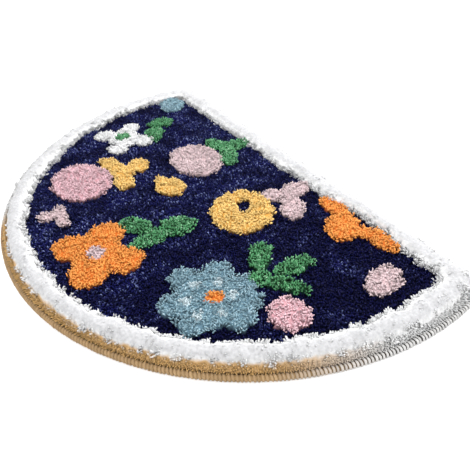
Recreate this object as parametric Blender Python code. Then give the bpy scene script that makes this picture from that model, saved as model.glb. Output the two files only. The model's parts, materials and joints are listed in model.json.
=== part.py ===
"""Half-moon rug: one tufted slab with raised flower motifs and a deep border, and its overlocked edge.

Metres, +Z up. The origin is on the floor, under the middle of the rug's box. The straight edge lies
towards +Y, the round edge towards -Y, and X runs along the straight edge.
"""
import math
import random
from collections import namedtuple

import bmesh
import bpy
import numpy as np
from mathutils import Vector, noise
from mathutils.geometry import delaunay_2d_cdt

# Outline: a segment of a circle with rounded corners
RUG_WIDTH = 0.800
RUG_DEPTH = 0.500
CORNER_RADIUS = 0.014
ARC_RADIUS = RUG_WIDTH / 2
STRAIGHT_Y = RUG_DEPTH / 2
ARC_MIDDLE_Y = ARC_RADIUS - RUG_DEPTH / 2

# Backing: a tongue of bare cloth at the rim that the binding wraps
TONGUE_BOTTOM = 0.0015
TONGUE_TOP = 0.0045
TONGUE_INSET = 0.0020
GAP = 0.0003

# Binding: an open C round the tongue, with a rounded outside
BINDING_WIDTH = 0.0077
BINDING_HEIGHT = 0.0092
BINDING_ROUNDING = 0.0016

# Pile: heights above the floor, and how far each kind of pile is uneven
FIELD_HEIGHT = 0.0160
FIELD_LUMP = 0.0010
MOTIF_HEIGHT = 0.0212
MOTIF_LUMP = 0.0014
BORDER_RIM_HEIGHT = 0.0190
BORDER_INNER_HEIGHT = 0.0220
BORDER_CROWN_HEIGHT = 0.0262
BORDER_LUMP = 0.0030
BORDER_ARCH_POWER = 2.5
EDGE_RUN = 0.0026

# Border: it narrows along the round edge, its inner edge wanders, and it is tucked back round a sprig
BORDER_WIDTH = 0.0480
NARROWING = 0.0065
NARROWEST_TURN = math.radians(-62)
NARROW_START = 0.3
NARROW_END = 0.7
BORDER_WANDER = 0.0050
WANDER_LENGTH = 0.0240
WANDER_SLICE = 0.3
FOOT_ROUNDS = 4
TUCK_X = 0.206
TUCK_HALF_LENGTH = 0.084
TUCK_DEPTH = 0.0080
TUCK_POWER = 4
INNER_CORNER_RADIUS = 0.020

# Side wall: from the shoulder down to the binding, over which its locks reach
SHOULDER_INSET = 0.0090
WALL_INSET = 0.0076
WALL_TOP = 0.0172
WALL_FOOT = 0.0108
ROOT_HEIGHT = 0.0098

# Locks: one on each quad of the side wall, leaning out over the binding
LOCK_REACH = 0.0050
LOCK_REACH_SPREAD = 0.0015
LOCK_DROOP = 0.0026
LOCK_SWAY = 0.0016
LOCK_TAPER = 0.58
LOCK_TAPER_SPREAD = 0.16
LOCK_ROOT_SHARE = 0.10

# Steps round the outline, and distances between the points of the pile's surface
ARC_STEPS = 112
CORNER_STEPS = 4
STRAIGHT_STEPS = 58
INNER_ARC_STEPS = 84
INNER_CORNER_STEPS = 2
INNER_STRAIGHT_STEPS = 48
LOOP_SPACING = 0.0100
LUMP_SPACING = 0.0135
FIELD_SPACING = 0.0175
CLEAR_SHARE = 0.55
LOOP_CLEARANCE = EDGE_RUN * 0.6
JITTER_SHARE = 0.25
FEWEST_LOOP_STEPS = 6
WALL_SHARE = 0.2
HEART_FLATNESS = 0.85
SEED = 7

Lobe = namedtuple("Lobe", "colour x y half_length half_width turn")
Flower = namedtuple("Flower", "colour x y turns reach_x reach_y petal heart")

# Rounds, leaves and drops: middle, half sizes and turn in degrees
LOBES = [
    Lobe("light_blue", -0.3215, 0.1705, 0.034, 0.026, -28),
    Lobe("pale_pink", -0.090, 0.098, 0.056, 0.044, 0),
    Lobe("pale_pink", 0.312, 0.143, 0.032, 0.022, 100),
    Lobe("pink", -0.1415, -0.092, 0.060, 0.050, 0),
    Lobe("pink", 0.2895, 0.0127, 0.0280, 0.0275, 0),
    Lobe("yellow", -0.041, 0.0227, 0.030, 0.024, 10),
    Lobe("yellow", -0.063, 0.0207, 0.019, 0.010, 0),
    Lobe("yellow", 0.0846, 0.0804, 0.0545, 0.049, -31),
    Lobe("green", -0.259, 0.113, 0.027, 0.018, 75),
    Lobe("green", -0.224, 0.082, 0.030, 0.019, -25),
    Lobe("green", -0.095, 0.182, 0.032, 0.019, 90),
    Lobe("green", -0.113, 0.157, 0.030, 0.017, 25),
    Lobe("green", -0.070, 0.152, 0.036, 0.017, -30),
    Lobe("green", 0.0595, -0.0185, 0.030, 0.0225, 80),
    Lobe("green", 0.064, -0.062, 0.034, 0.015, 90),
    Lobe("green", 0.027, -0.065, 0.031, 0.017, 30),
    Lobe("green", 0.1853, 0.0418, 0.0315, 0.018, -42),
    Lobe("green", 0.2261, 0.0682, 0.031, 0.017, 82),
    Lobe("green", 0.250, 0.039, 0.032, 0.014, 38),
    Lobe("green", 0.217, 0.018, 0.020, 0.014, 90),
    Lobe("pale_pink", 0.086, 0.178, 0.032, 0.019, 95),
    Lobe("pale_pink", 0.078, 0.143, 0.022, 0.018, 60),
    Lobe("pale_pink", 0.122, 0.147, 0.031, 0.020, -35),
    Lobe("orange", 0.157, 0.198, 0.031, 0.016, 0),
    Lobe("orange", 0.2005, 0.1765, 0.034, 0.026, -50),
    Lobe("orange", 0.254, 0.198, 0.030, 0.017, 0),
    Lobe("orange", 0.225, 0.189, 0.018, 0.014, 20),
    Lobe("yellow", -0.135, 0.008, 0.022, 0.021, 0),
    Lobe("yellow", -0.168, -0.031, 0.025, 0.017, 15),
    Lobe("yellow", -0.132, -0.024, 0.026, 0.021, 0),
    Lobe("yellow", -0.098, -0.033, 0.024, 0.017, -15),
    Lobe("pale_pink", -0.076, -0.150, 0.019, 0.013, 0),
    Lobe("pale_pink", -0.053, -0.153, 0.019, 0.010, 10),
    Lobe("pale_pink", -0.079, -0.168, 0.016, 0.013, 70),
]

# Flowers: petals at their turns in degrees on an oval round a heart, and the eyes on their hearts
FLOWERS = [
    Flower("white", -0.2435, 0.0282, (45, 135, 225, 315), 0.0448, 0.0365, 0.0190, 0.034),
    Flower("orange", 0.050, -0.137, (45, 135, 225, 315), 0.0468, 0.0350, 0.0285, 0.044),
    Flower("light_blue", 0.2120, -0.0515, (15, 52, 85, 134, 195, 256, 299), 0.0500, 0.0440, 0.0215, 0.054),
]
EYES = [
    Lobe("green", -0.2484, 0.0269, 0.0145, 0.0145, 0),
    Lobe("pale_pink", 0.050, -0.137, 0.013, 0.013, 0),
    Lobe("orange", 0.2145, -0.0473, 0.0115, 0.0115, 0),
]

# The off-centre hole in the large yellow round
HOLES = [Lobe("navy", 0.0755, 0.0903, 0.0165, 0.010, -31)]

# Yarn colours, linear values
YARNS = {
    "navy": (0.006, 0.008, 0.055),
    "white": (0.74, 0.74, 0.76),
    "light_blue": (0.28, 0.48, 0.55),
    "pale_pink": (0.68, 0.48, 0.46),
    "pink": (0.68, 0.32, 0.36),
    "yellow": (0.72, 0.42, 0.10),
    "green": (0.05, 0.26, 0.09),
    "orange": (0.72, 0.20, 0.03),
    "binding": (0.60, 0.52, 0.42),
}
YARN_ROUGHNESS = 0.85


def clear_scene():
    """Remove every object that the file opened with."""
    for thing in list(bpy.data.objects):
        bpy.data.objects.remove(thing, do_unlink=True)


def yarn_material(name):
    """Return the matt yarn of one colour."""
    material = bpy.data.materials.new(f"{name}_yarn")
    material.use_nodes = True
    shader = material.node_tree.nodes["Principled BSDF"]
    shader.inputs["Base Color"].default_value = (*YARNS[name], 1.0)
    shader.inputs["Roughness"].default_value = YARN_ROUGHNESS
    shader.inputs["Metallic"].default_value = 0.0
    return material


def outline(inset, corner_radius, arc_steps, corner_steps, straight_steps):
    """Return (point, outward direction) pairs round the half-moon, anticlockwise from the left corner."""
    arc_radius = ARC_RADIUS - inset
    straight_y = STRAIGHT_Y - inset
    corner_y = straight_y - corner_radius
    corner_x = math.sqrt((arc_radius - corner_radius) ** 2 - (corner_y - ARC_MIDDLE_Y) ** 2)
    hand_over = math.atan2(corner_y - ARC_MIDDLE_Y, corner_x)
    stations = []

    def add_arc(middle, radius, start, end, steps):
        for step in range(steps):
            angle = start + (end - start) * step / steps
            out = Vector((math.cos(angle), math.sin(angle)))
            stations.append((middle + out * radius, out))

    add_arc(Vector((0, ARC_MIDDLE_Y)), arc_radius, math.pi - hand_over, 2 * math.pi + hand_over, arc_steps)
    add_arc(Vector((corner_x, corner_y)), corner_radius, hand_over, math.pi / 2, corner_steps)
    for step in range(straight_steps):
        along = corner_x - 2 * corner_x * step / straight_steps
        stations.append((Vector((along, straight_y)), Vector((0, 1))))
    add_arc(Vector((-corner_x, corner_y)), corner_radius, math.pi / 2, math.pi - hand_over, corner_steps)
    return stations


def rim_stations():
    """Return the stations of the rug's own outline."""
    return outline(0.0, CORNER_RADIUS, ARC_STEPS, CORNER_STEPS, STRAIGHT_STEPS)


def rim_distance(x, y):
    """Return how far a point lies inside the rug's outline, rounded where the two edges meet."""
    from_arc = ARC_RADIUS - math.hypot(x, y - ARC_MIDDLE_Y)
    from_straight = STRAIGHT_Y - y
    blend = max(CORNER_RADIUS - abs(from_arc - from_straight), 0.0)
    return min(from_arc, from_straight) - blend * blend / (4 * CORNER_RADIUS)


def narrow_share(x, y):
    """Return how much of the border's narrowing applies at a place, 0 to 1."""
    direction = Vector((x, y - ARC_MIDDLE_Y)).normalized()
    towards = direction.dot(Vector((math.cos(NARROWEST_TURN), math.sin(NARROWEST_TURN))))
    share = min(max((towards - NARROW_START) / (NARROW_END - NARROW_START), 0.0), 1.0)
    return share * share * (3.0 - 2.0 * share)


def edge_shift(x, y):
    """Return how far the border's inner edge strays inwards at a place."""
    shift = BORDER_WANDER * noise.noise(Vector((x, y, WANDER_SLICE)) / WANDER_LENGTH)
    shift -= NARROWING * narrow_share(x, y)
    off_tuck = abs(x - TUCK_X) / TUCK_HALF_LENGTH
    if y < ARC_MIDDLE_Y or off_tuck > 1.0:
        return shift
    return shift - TUCK_DEPTH * (1.0 - off_tuck ** TUCK_POWER)


def border_foot(point, out):
    """Return the foot of the border's inner edge, straight in or out from a point of its plain outline."""
    foot = point
    for _ in range(FOOT_ROUNDS):
        foot = point - out * edge_shift(foot.x, foot.y)
    return foot


def flower_lobes(flower):
    """Return a flower's petals and heart as lobes."""
    lobes = []
    for turn in flower.turns:
        x = flower.x + flower.reach_x * math.cos(math.radians(turn))
        y = flower.y + flower.reach_y * math.sin(math.radians(turn))
        lobes.append(Lobe(flower.colour, x, y, flower.petal, flower.petal, 0))
    lobes.append(Lobe(flower.colour, flower.x, flower.y, flower.heart, flower.heart * HEART_FLATNESS, 0))
    return lobes


ALL_LOBES = LOBES + [lobe for flower in FLOWERS for lobe in flower_lobes(flower)]


def lobe_depth(lobe, x, y):
    """Return how far a point lies inside a lobe, negative outside it."""
    turn = math.radians(lobe.turn)
    along = (x - lobe.x) * math.cos(turn) + (y - lobe.y) * math.sin(turn)
    across = (y - lobe.y) * math.cos(turn) - (x - lobe.x) * math.sin(turn)
    share = math.hypot(along / lobe.half_length, across / lobe.half_width)
    slope = math.hypot(along / lobe.half_length ** 2, across / lobe.half_width ** 2)
    if slope == 0.0:
        return lobe.half_width
    return (1.0 - share) * share / slope


def motif_depth(x, y):
    """Return how far a point lies inside the raised motifs, and the colour there."""
    depth, colour = max((lobe_depth(lobe, x, y), lobe.colour) for lobe in ALL_LOBES)
    in_hole = max(lobe_depth(hole, x, y) for hole in HOLES)
    if -in_hole < depth:
        depth = -in_hole
    for eye in EYES:
        if lobe_depth(eye, x, y) > 0.0:
            colour = eye.colour
    return depth, colour


def place_colour(x, y):
    """Return the yarn at a place on the rug."""
    if rim_distance(x, y) < BORDER_WIDTH - WALL_SHARE * EDGE_RUN + edge_shift(x, y):
        return "white"
    depth, colour = motif_depth(x, y)
    return colour if depth > WALL_SHARE * EDGE_RUN else "navy"


def border_height(x, y):
    """Return the arched height of the border's pile."""
    inner = BORDER_WIDTH - EDGE_RUN + edge_shift(x, y)
    across = (rim_distance(x, y) - SHOULDER_INSET) / (inner - SHOULDER_INSET)
    side = BORDER_RIM_HEIGHT if across < 0.5 else BORDER_INNER_HEIGHT
    arch = 1.0 - min(abs(2.0 * across - 1.0), 1.0) ** BORDER_ARCH_POWER
    return side + (BORDER_CROWN_HEIGHT - side) * arch


class PileSurface:
    """The points of the pile's top surface, each with its height, and the links that edges follow."""

    def __init__(self):
        self.places = []
        self.heights = []
        self.links = []
        self.dice = random.Random(SEED)

    def add(self, x, y, height, lump):
        """Add one point, uneven by up to one lump, and return its number."""
        self.places.append((x, y))
        self.heights.append(height + lump * self.dice.uniform(-1.0, 1.0))
        return len(self.places) - 1

    def jitter(self):
        """Return a random share of a step, either way."""
        return self.dice.uniform(-JITTER_SHARE, JITTER_SHARE)

    def link_loop(self, numbers):
        """Link the neighbours on a closed loop, in which None stands for a point left out."""
        for first, second in zip(numbers, numbers[1:] + numbers[:1]):
            if first is not None and second is not None:
                self.links.append((first, second))

    def is_clear(self, x, y, distance):
        """Say whether no point lies nearer than a distance."""
        offsets = np.array(self.places) - (x, y)
        return float(np.min(np.sum(offsets * offsets, axis=1))) > distance * distance

    def add_rim(self, stations):
        """Add the shoulder, the loop where the top meets the side wall."""
        for point, out in stations:
            place = point - out * SHOULDER_INSET
            self.add(place.x, place.y, BORDER_RIM_HEIGHT, BORDER_LUMP / 4)

    def add_border_edge(self):
        """Add the foot and the top of the border's wandering inner edge."""
        loop = outline(BORDER_WIDTH, INNER_CORNER_RADIUS, INNER_ARC_STEPS, INNER_CORNER_STEPS,
                       INNER_STRAIGHT_STEPS)
        tops = []
        feet = []
        for point, out in loop:
            foot = border_foot(point, out)
            top = foot + out * EDGE_RUN
            tops.append(self.add(top.x, top.y, BORDER_INNER_HEIGHT, BORDER_LUMP / 2))
            kind = "motif" if motif_depth(foot.x, foot.y)[0] > 0.0 else "field"
            feet.append(self.add(foot.x, foot.y, *kind_height(kind, foot.x, foot.y)))
        self.link_loop(tops)
        self.link_loop(feet)

    def add_lobe_loop(self, lobe, inset, height, lump, others):
        """Add one loop round a lobe where it lies outside all other lobes and the border."""
        half_length = lobe.half_length - inset
        half_width = lobe.half_width - inset
        girth = math.pi * (half_length + half_width)
        count = max(round(girth / LOOP_SPACING), FEWEST_LOOP_STEPS)
        turn = math.radians(lobe.turn)
        numbers = []
        for step in range(count):
            angle = 2 * math.pi * step / count
            along = half_length * math.cos(angle)
            across = half_width * math.sin(angle)
            x = lobe.x + along * math.cos(turn) - across * math.sin(turn)
            y = lobe.y + along * math.sin(turn) + across * math.cos(turn)
            hidden = any(lobe_depth(other, x, y) > inset - EDGE_RUN / 4 for other in others)
            under_border = rim_distance(x, y) < BORDER_WIDTH + EDGE_RUN + edge_shift(x, y)
            is_kept = not hidden and not under_border and self.is_clear(x, y, LOOP_CLEARANCE)
            numbers.append(self.add(x, y, height, lump) if is_kept else None)
        self.link_loop(numbers)

    def add_motif_edges(self):
        """Add the foot and the top of each motif's edge and of the ring's hole, and each eye's outline."""
        for lobe in ALL_LOBES:
            others = [other for other in ALL_LOBES if other is not lobe]
            self.add_lobe_loop(lobe, EDGE_RUN, MOTIF_HEIGHT, MOTIF_LUMP, others)
            self.add_lobe_loop(lobe, 0.0, FIELD_HEIGHT, FIELD_LUMP, others)
        for hole in HOLES:
            self.add_lobe_loop(hole, 0.0, FIELD_HEIGHT, FIELD_LUMP, [])
            self.add_lobe_loop(hole, -EDGE_RUN, MOTIF_HEIGHT, MOTIF_LUMP, [])
        for eye in EYES:
            self.add_lobe_loop(eye, 0.0, MOTIF_HEIGHT, MOTIF_LUMP, [])

    def fill(self, spacing, wanted):
        """Fill the places of the wanted kinds with jittered rows of points."""
        columns = int(RUG_WIDTH / spacing)
        rows = int(RUG_DEPTH / spacing)
        for row in range(rows + 1):
            for column in range(columns + 1):
                stagger = (row % 2) / 2
                x = -RUG_WIDTH / 2 + (column + stagger + self.jitter()) * spacing
                y = -RUG_DEPTH / 2 + (row + self.jitter()) * spacing
                if rim_distance(x, y) < SHOULDER_INSET + spacing * CLEAR_SHARE:
                    continue
                kind = place_kind(x, y)
                if kind in wanted and self.is_clear(x, y, spacing * CLEAR_SHARE):
                    self.add(x, y, *kind_height(kind, x, y))


def place_kind(x, y):
    """Return which kind of pile a place has: border, motif or field."""
    if rim_distance(x, y) < BORDER_WIDTH - EDGE_RUN + edge_shift(x, y):
        return "border"
    return "motif" if motif_depth(x, y)[0] > EDGE_RUN else "field"


def kind_height(kind, x, y):
    """Return the height of a kind of pile at a place, and its lump."""
    if kind == "border":
        return border_height(x, y), BORDER_LUMP
    if kind == "motif":
        return MOTIF_HEIGHT, MOTIF_LUMP
    return FIELD_HEIGHT, FIELD_LUMP


def pile_top(stations):
    """Return a mesh of the pile's top surface, its rim points first and numbered by station."""
    surface = PileSurface()
    surface.add_rim(stations)
    surface.add_border_edge()
    surface.add_motif_edges()
    surface.fill(LUMP_SPACING, ("border", "motif"))
    surface.fill(FIELD_SPACING, ("field",))
    flat_points = [Vector(place) for place in surface.places]
    rim_face = [list(range(len(stations)))]
    points, _, triangles, origins, _, _ = delaunay_2d_cdt(flat_points, surface.links, rim_face, 1, 1e-7)
    mesh = bmesh.new()
    station_layer = mesh.verts.layers.int.new("station")
    corners = []
    for point, origin in zip(points, origins):
        crossing_height = kind_height(place_kind(point.x, point.y), point.x, point.y)[0]
        height = surface.heights[origin[0]] if origin else crossing_height
        corner = mesh.verts.new((point.x, point.y, height))
        corner[station_layer] = origin[0] if origin else len(stations)
        corners.append(corner)
    for triangle in triangles:
        mesh.faces.new([corners[index] for index in triangle])
    bmesh.ops.recalc_face_normals(mesh, faces=mesh.faces)
    if mesh.faces[:][0].normal.z < 0:
        bmesh.ops.reverse_faces(mesh, faces=mesh.faces)
    return mesh, station_layer


def extrude_rim(mesh, station_layer, stations, loop, inset, height):
    """Extrude a loop of rim edges to its next row, and return the new loop and the faces between."""
    grown = bmesh.ops.extrude_edge_only(mesh, edges=loop)["geom"]
    for corner in (item for item in grown if isinstance(item, bmesh.types.BMVert)):
        point, out = stations[corner[station_layer]]
        place = point - out * inset
        corner.co = (place.x, place.y, height)
    new_loop = [item for item in grown if isinstance(item, bmesh.types.BMEdge)]
    new_loop = [edge for edge in new_loop if edge.is_boundary]
    faces = [item for item in grown if isinstance(item, bmesh.types.BMFace)]
    return new_loop, faces


def face_turn(face):
    """Return the turn of a face's middle about the rug's middle."""
    middle = face.calc_center_median()
    return math.atan2(middle.y, middle.x)


def grow_locks(mesh, wall_faces):
    """Draw a tapered lock out of each quad of the side wall, in order round the rim."""
    dice = random.Random(SEED + 1)
    for face in wall_faces:
        width = min(edge.calc_length() for edge in face.edges)
        bmesh.ops.inset_individual(mesh, faces=[face], thickness=width * LOCK_ROOT_SHARE)
    tips = bmesh.ops.extrude_discrete_faces(mesh, faces=wall_faces)["faces"]
    for tip in sorted(tips, key=face_turn):
        middle = tip.calc_center_median()
        width = min(edge.calc_length() for edge in tip.edges)
        out = Vector((tip.normal.x, tip.normal.y, 0)).normalized()
        reach = LOCK_REACH + LOCK_REACH_SPREAD * dice.uniform(-1.0, 1.0)
        sway = min(LOCK_SWAY, width / 4) * dice.uniform(-1.0, 1.0)
        drop = LOCK_DROOP * dice.uniform(0.0, 1.0)
        taper = LOCK_TAPER + LOCK_TAPER_SPREAD * dice.uniform(-1.0, 1.0)
        shift = out * reach + Vector((-out.y, out.x, 0)) * sway - Vector((0, 0, drop))
        for corner in tip.verts:
            corner.co = middle + (corner.co - middle) * taper + shift


def face_colour(face, peak):
    """Return the yarn of a face: that of its middle, or of its highest corner where the middle is field."""
    middle = face.calc_center_median()
    if rim_distance(middle.x, middle.y) < SHOULDER_INSET or middle.z < TONGUE_TOP:
        return "white"
    colour = place_colour(middle.x, middle.y)
    return colour if colour != "navy" else place_colour(peak.x, peak.y)


def finish_object(name, mesh, yarns, collection):
    """Turn a mesh into a smooth named object with its yarns."""
    data = bpy.data.meshes.new(name)
    mesh.to_mesh(data)
    mesh.free()
    for yarn in yarns:
        data.materials.append(yarn)
    data.shade_smooth()
    thing = bpy.data.objects.new(name, data)
    collection.objects.link(thing)
    return thing


def build_tufted_rug(collection):
    """Build the slab: pile, side wall with locks, tongue of backing and flat underside."""
    stations = rim_stations()
    mesh, station_layer = pile_top(stations)
    loop = [edge for edge in mesh.edges if edge.is_boundary]
    loop, _ = extrude_rim(mesh, station_layer, stations, loop, WALL_INSET, WALL_TOP)
    loop, wall = extrude_rim(mesh, station_layer, stations, loop, WALL_INSET, WALL_FOOT)
    inner = BINDING_WIDTH + GAP
    for inset, height in ((inner, ROOT_HEIGHT), (inner, TONGUE_TOP), (TONGUE_INSET, TONGUE_TOP),
                          (TONGUE_INSET, TONGUE_BOTTOM), (inner, TONGUE_BOTTOM), (inner, 0.0)):
        loop, _ = extrude_rim(mesh, station_layer, stations, loop, inset, height)
    bmesh.ops.contextual_create(mesh, geom=loop)
    bmesh.ops.recalc_face_normals(mesh, faces=mesh.faces)
    mesh.normal_update()
    grow_locks(mesh, wall)
    colour_names = [name for name in YARNS if name != "binding"]
    for face in mesh.faces:
        peak = max(face.verts, key=lambda corner: corner.co.z).co
        face.material_index = colour_names.index(face_colour(face, peak))
    yarns = [yarn_material(name) for name in colour_names]
    return finish_object("tufted_rug", mesh, yarns, collection)


def binding_section():
    """Return the binding's closed section as (inset, height) pairs."""
    mouth_end = TONGUE_INSET - GAP
    mouth_top = TONGUE_TOP + GAP
    mouth_bottom = TONGUE_BOTTOM - GAP
    return [
        (BINDING_WIDTH, 0.0),
        (BINDING_ROUNDING / 2, 0.0),
        (0.0, BINDING_ROUNDING),
        (0.0, BINDING_HEIGHT - 2 * BINDING_ROUNDING),
        (BINDING_ROUNDING, BINDING_HEIGHT - BINDING_ROUNDING / 2),
        (BINDING_WIDTH / 2, BINDING_HEIGHT),
        (BINDING_WIDTH - BINDING_ROUNDING, BINDING_HEIGHT - BINDING_ROUNDING / 2),
        (BINDING_WIDTH, BINDING_HEIGHT - 2 * BINDING_ROUNDING),
        (BINDING_WIDTH, mouth_top),
        (mouth_end, mouth_top),
        (mouth_end, mouth_bottom),
        (BINDING_WIDTH, mouth_bottom),
    ]


def build_binding(collection):
    """Sweep the binding's section round the rug by spinning and extruding it."""
    corner_y = STRAIGHT_Y - CORNER_RADIUS
    corner_x = math.sqrt((ARC_RADIUS - CORNER_RADIUS) ** 2 - (corner_y - ARC_MIDDLE_Y) ** 2)
    hand_over = math.atan2(corner_y - ARC_MIDDLE_Y, corner_x)
    out = Vector((-math.cos(hand_over), math.sin(hand_over), 0))
    start = Vector((0, ARC_MIDDLE_Y, 0)) + out * ARC_RADIUS
    mesh = bmesh.new()
    corners = []
    for inset, height in binding_section():
        corners.append(mesh.verts.new(start - out * inset + Vector((0, 0, height))))
    edges = [mesh.edges.new((corner, corners[index - 1])) for index, corner in enumerate(corners)]
    turns = (
        (Vector((0, ARC_MIDDLE_Y, 0)), math.pi + 2 * hand_over, ARC_STEPS, None),
        (Vector((corner_x, corner_y, 0)), math.pi / 2 - hand_over, CORNER_STEPS, None),
        (Vector(), 0.0, STRAIGHT_STEPS, Vector((-2 * corner_x / STRAIGHT_STEPS, 0, 0))),
        (Vector((-corner_x, corner_y, 0)), math.pi / 2 - hand_over, CORNER_STEPS, None),
    )
    geometry = corners + edges
    for middle, angle, steps, shift in turns:
        geometry = bmesh.ops.spin(mesh, geom=geometry, cent=middle, axis=(0, 0, 1), angle=angle, steps=steps,
                                  dvec=shift or Vector())["geom_last"]
    bmesh.ops.remove_doubles(mesh, verts=mesh.verts, dist=GAP / 10)
    bmesh.ops.recalc_face_normals(mesh, faces=mesh.faces)
    return finish_object("overlock_binding", mesh, [yarn_material("binding")], collection)


def main():
    """Build the rug in its own collection."""
    clear_scene()
    collection = bpy.data.collections.new("half_moon_rug")
    bpy.context.scene.collection.children.link(collection)
    build_tufted_rug(collection)
    build_binding(collection)


main()
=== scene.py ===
"""Half-moon rug: yarn pile, raised motifs, fluffy border, whipped edge and backing cloth, in a soft studio.

Metres, +Z up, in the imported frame: the straight edge lies towards +Y and the round edge towards -Y.
"""
import json
import logging
import math
import random
from dataclasses import dataclass, field, fields
from enum import Enum

import bmesh
import bpy
import numpy as np
from mathutils import Matrix, Vector, kdtree, noise
from mathutils.geometry import delaunay_2d_cdt

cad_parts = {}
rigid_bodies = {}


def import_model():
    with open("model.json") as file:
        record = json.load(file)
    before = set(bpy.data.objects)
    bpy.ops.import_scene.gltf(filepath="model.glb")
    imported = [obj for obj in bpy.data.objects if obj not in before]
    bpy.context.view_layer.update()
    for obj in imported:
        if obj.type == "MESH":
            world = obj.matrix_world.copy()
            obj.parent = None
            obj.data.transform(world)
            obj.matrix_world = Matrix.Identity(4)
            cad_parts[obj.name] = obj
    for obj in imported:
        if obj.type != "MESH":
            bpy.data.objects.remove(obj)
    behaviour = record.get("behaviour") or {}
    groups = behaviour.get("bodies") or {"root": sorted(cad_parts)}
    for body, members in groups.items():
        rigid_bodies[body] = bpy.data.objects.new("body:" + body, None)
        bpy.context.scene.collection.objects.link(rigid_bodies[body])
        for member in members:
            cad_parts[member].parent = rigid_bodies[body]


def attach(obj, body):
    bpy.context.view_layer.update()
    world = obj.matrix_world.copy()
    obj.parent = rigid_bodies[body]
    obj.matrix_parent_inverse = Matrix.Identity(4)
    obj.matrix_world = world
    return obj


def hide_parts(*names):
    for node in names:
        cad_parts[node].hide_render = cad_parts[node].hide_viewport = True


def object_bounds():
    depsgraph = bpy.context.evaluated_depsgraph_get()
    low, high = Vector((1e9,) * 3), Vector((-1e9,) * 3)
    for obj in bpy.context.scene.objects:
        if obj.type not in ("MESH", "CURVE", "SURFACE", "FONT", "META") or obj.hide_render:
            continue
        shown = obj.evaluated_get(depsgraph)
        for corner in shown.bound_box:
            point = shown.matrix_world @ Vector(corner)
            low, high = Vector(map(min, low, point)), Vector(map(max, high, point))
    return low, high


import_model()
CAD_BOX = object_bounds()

LOG = logging.getLogger("half_moon_rug")
Colour = tuple[float, float, float]
Place = tuple[float, float, float]
Socket = bpy.types.NodeSocket
FULL_TURN = 2 * math.pi
FILL_GAP = 0.6  # Distance of a net's inner points from its ring, as a share of their spacing


class Yarn(Enum):
    """The colours of yarn in the rug."""

    NAVY = "navy"
    WHITE = "white"
    LIGHT_BLUE = "light_blue"
    PALE_PINK = "pale_pink"
    PINK = "pink"
    YELLOW = "yellow"
    GREEN = "green"
    ORANGE = "orange"
    PALE_BLUE = "pale_blue"


class Pile(Enum):
    """The kinds of pile, by how they are tufted."""

    FIELD = 0
    MOTIF = 1
    BORDER = 2


YARNS = list(Yarn)


def soft_noise(places: np.ndarray, size: float, layer: float) -> np.ndarray:
    """Read a smooth noise at many places.

    Args:
        places: Points, one a row, of which x and y are read.
        size: Length in metres over which the noise changes.
        layer: Which slice of the noise is read.

    Returns:
        One value from about -0.7 to 0.7 a row.
    """
    return np.array([noise.noise(Vector((x / size, y / size, layer))) for x, y in places[:, :2]])


@dataclass(frozen=True)
class Wave:
    """A soft wave over the rug: its strength, the length over which it changes and its slice of the noise."""

    strength: float
    size: float
    layer: float

    def read(self, places: np.ndarray) -> np.ndarray:
        """Return the wave at each place, one place a row."""
        return self.strength * soft_noise(places, self.size, self.layer)


def soft_shift(places: np.ndarray, size: float, layers: tuple[float, float]) -> np.ndarray:
    """Return a smooth noise for x and another for y at each place, one place a row."""
    return np.stack([soft_noise(places, size, layer) for layer in layers], axis=1)


def unit(vectors: np.ndarray) -> np.ndarray:
    """Return the vectors, one a row, each at length 1."""
    lengths = np.linalg.norm(vectors, axis=1, keepdims=True)
    return vectors / np.maximum(lengths, 1e-9)


def facing_up(sideways: np.ndarray) -> np.ndarray:
    """Return directions that lean from upright by a sideways part, one a row."""
    return unit(np.column_stack([sideways, np.ones(len(sideways))]))


def crosswise(outs: np.ndarray) -> np.ndarray:
    """Return the directions along an edge from its outward directions, one a row."""
    return np.column_stack([-outs[:, 1], outs[:, 0]])


def bridge(mesh: bmesh.types.BMesh, lower: list[bmesh.types.BMVert], upper: list[bmesh.types.BMVert]) -> None:
    """Join two closed rings of points with a band of faces."""
    for number, (low, high) in enumerate(zip(lower, upper)):
        after = (number + 1) % len(lower)
        mesh.faces.new((low, lower[after], upper[after], high))


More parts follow.
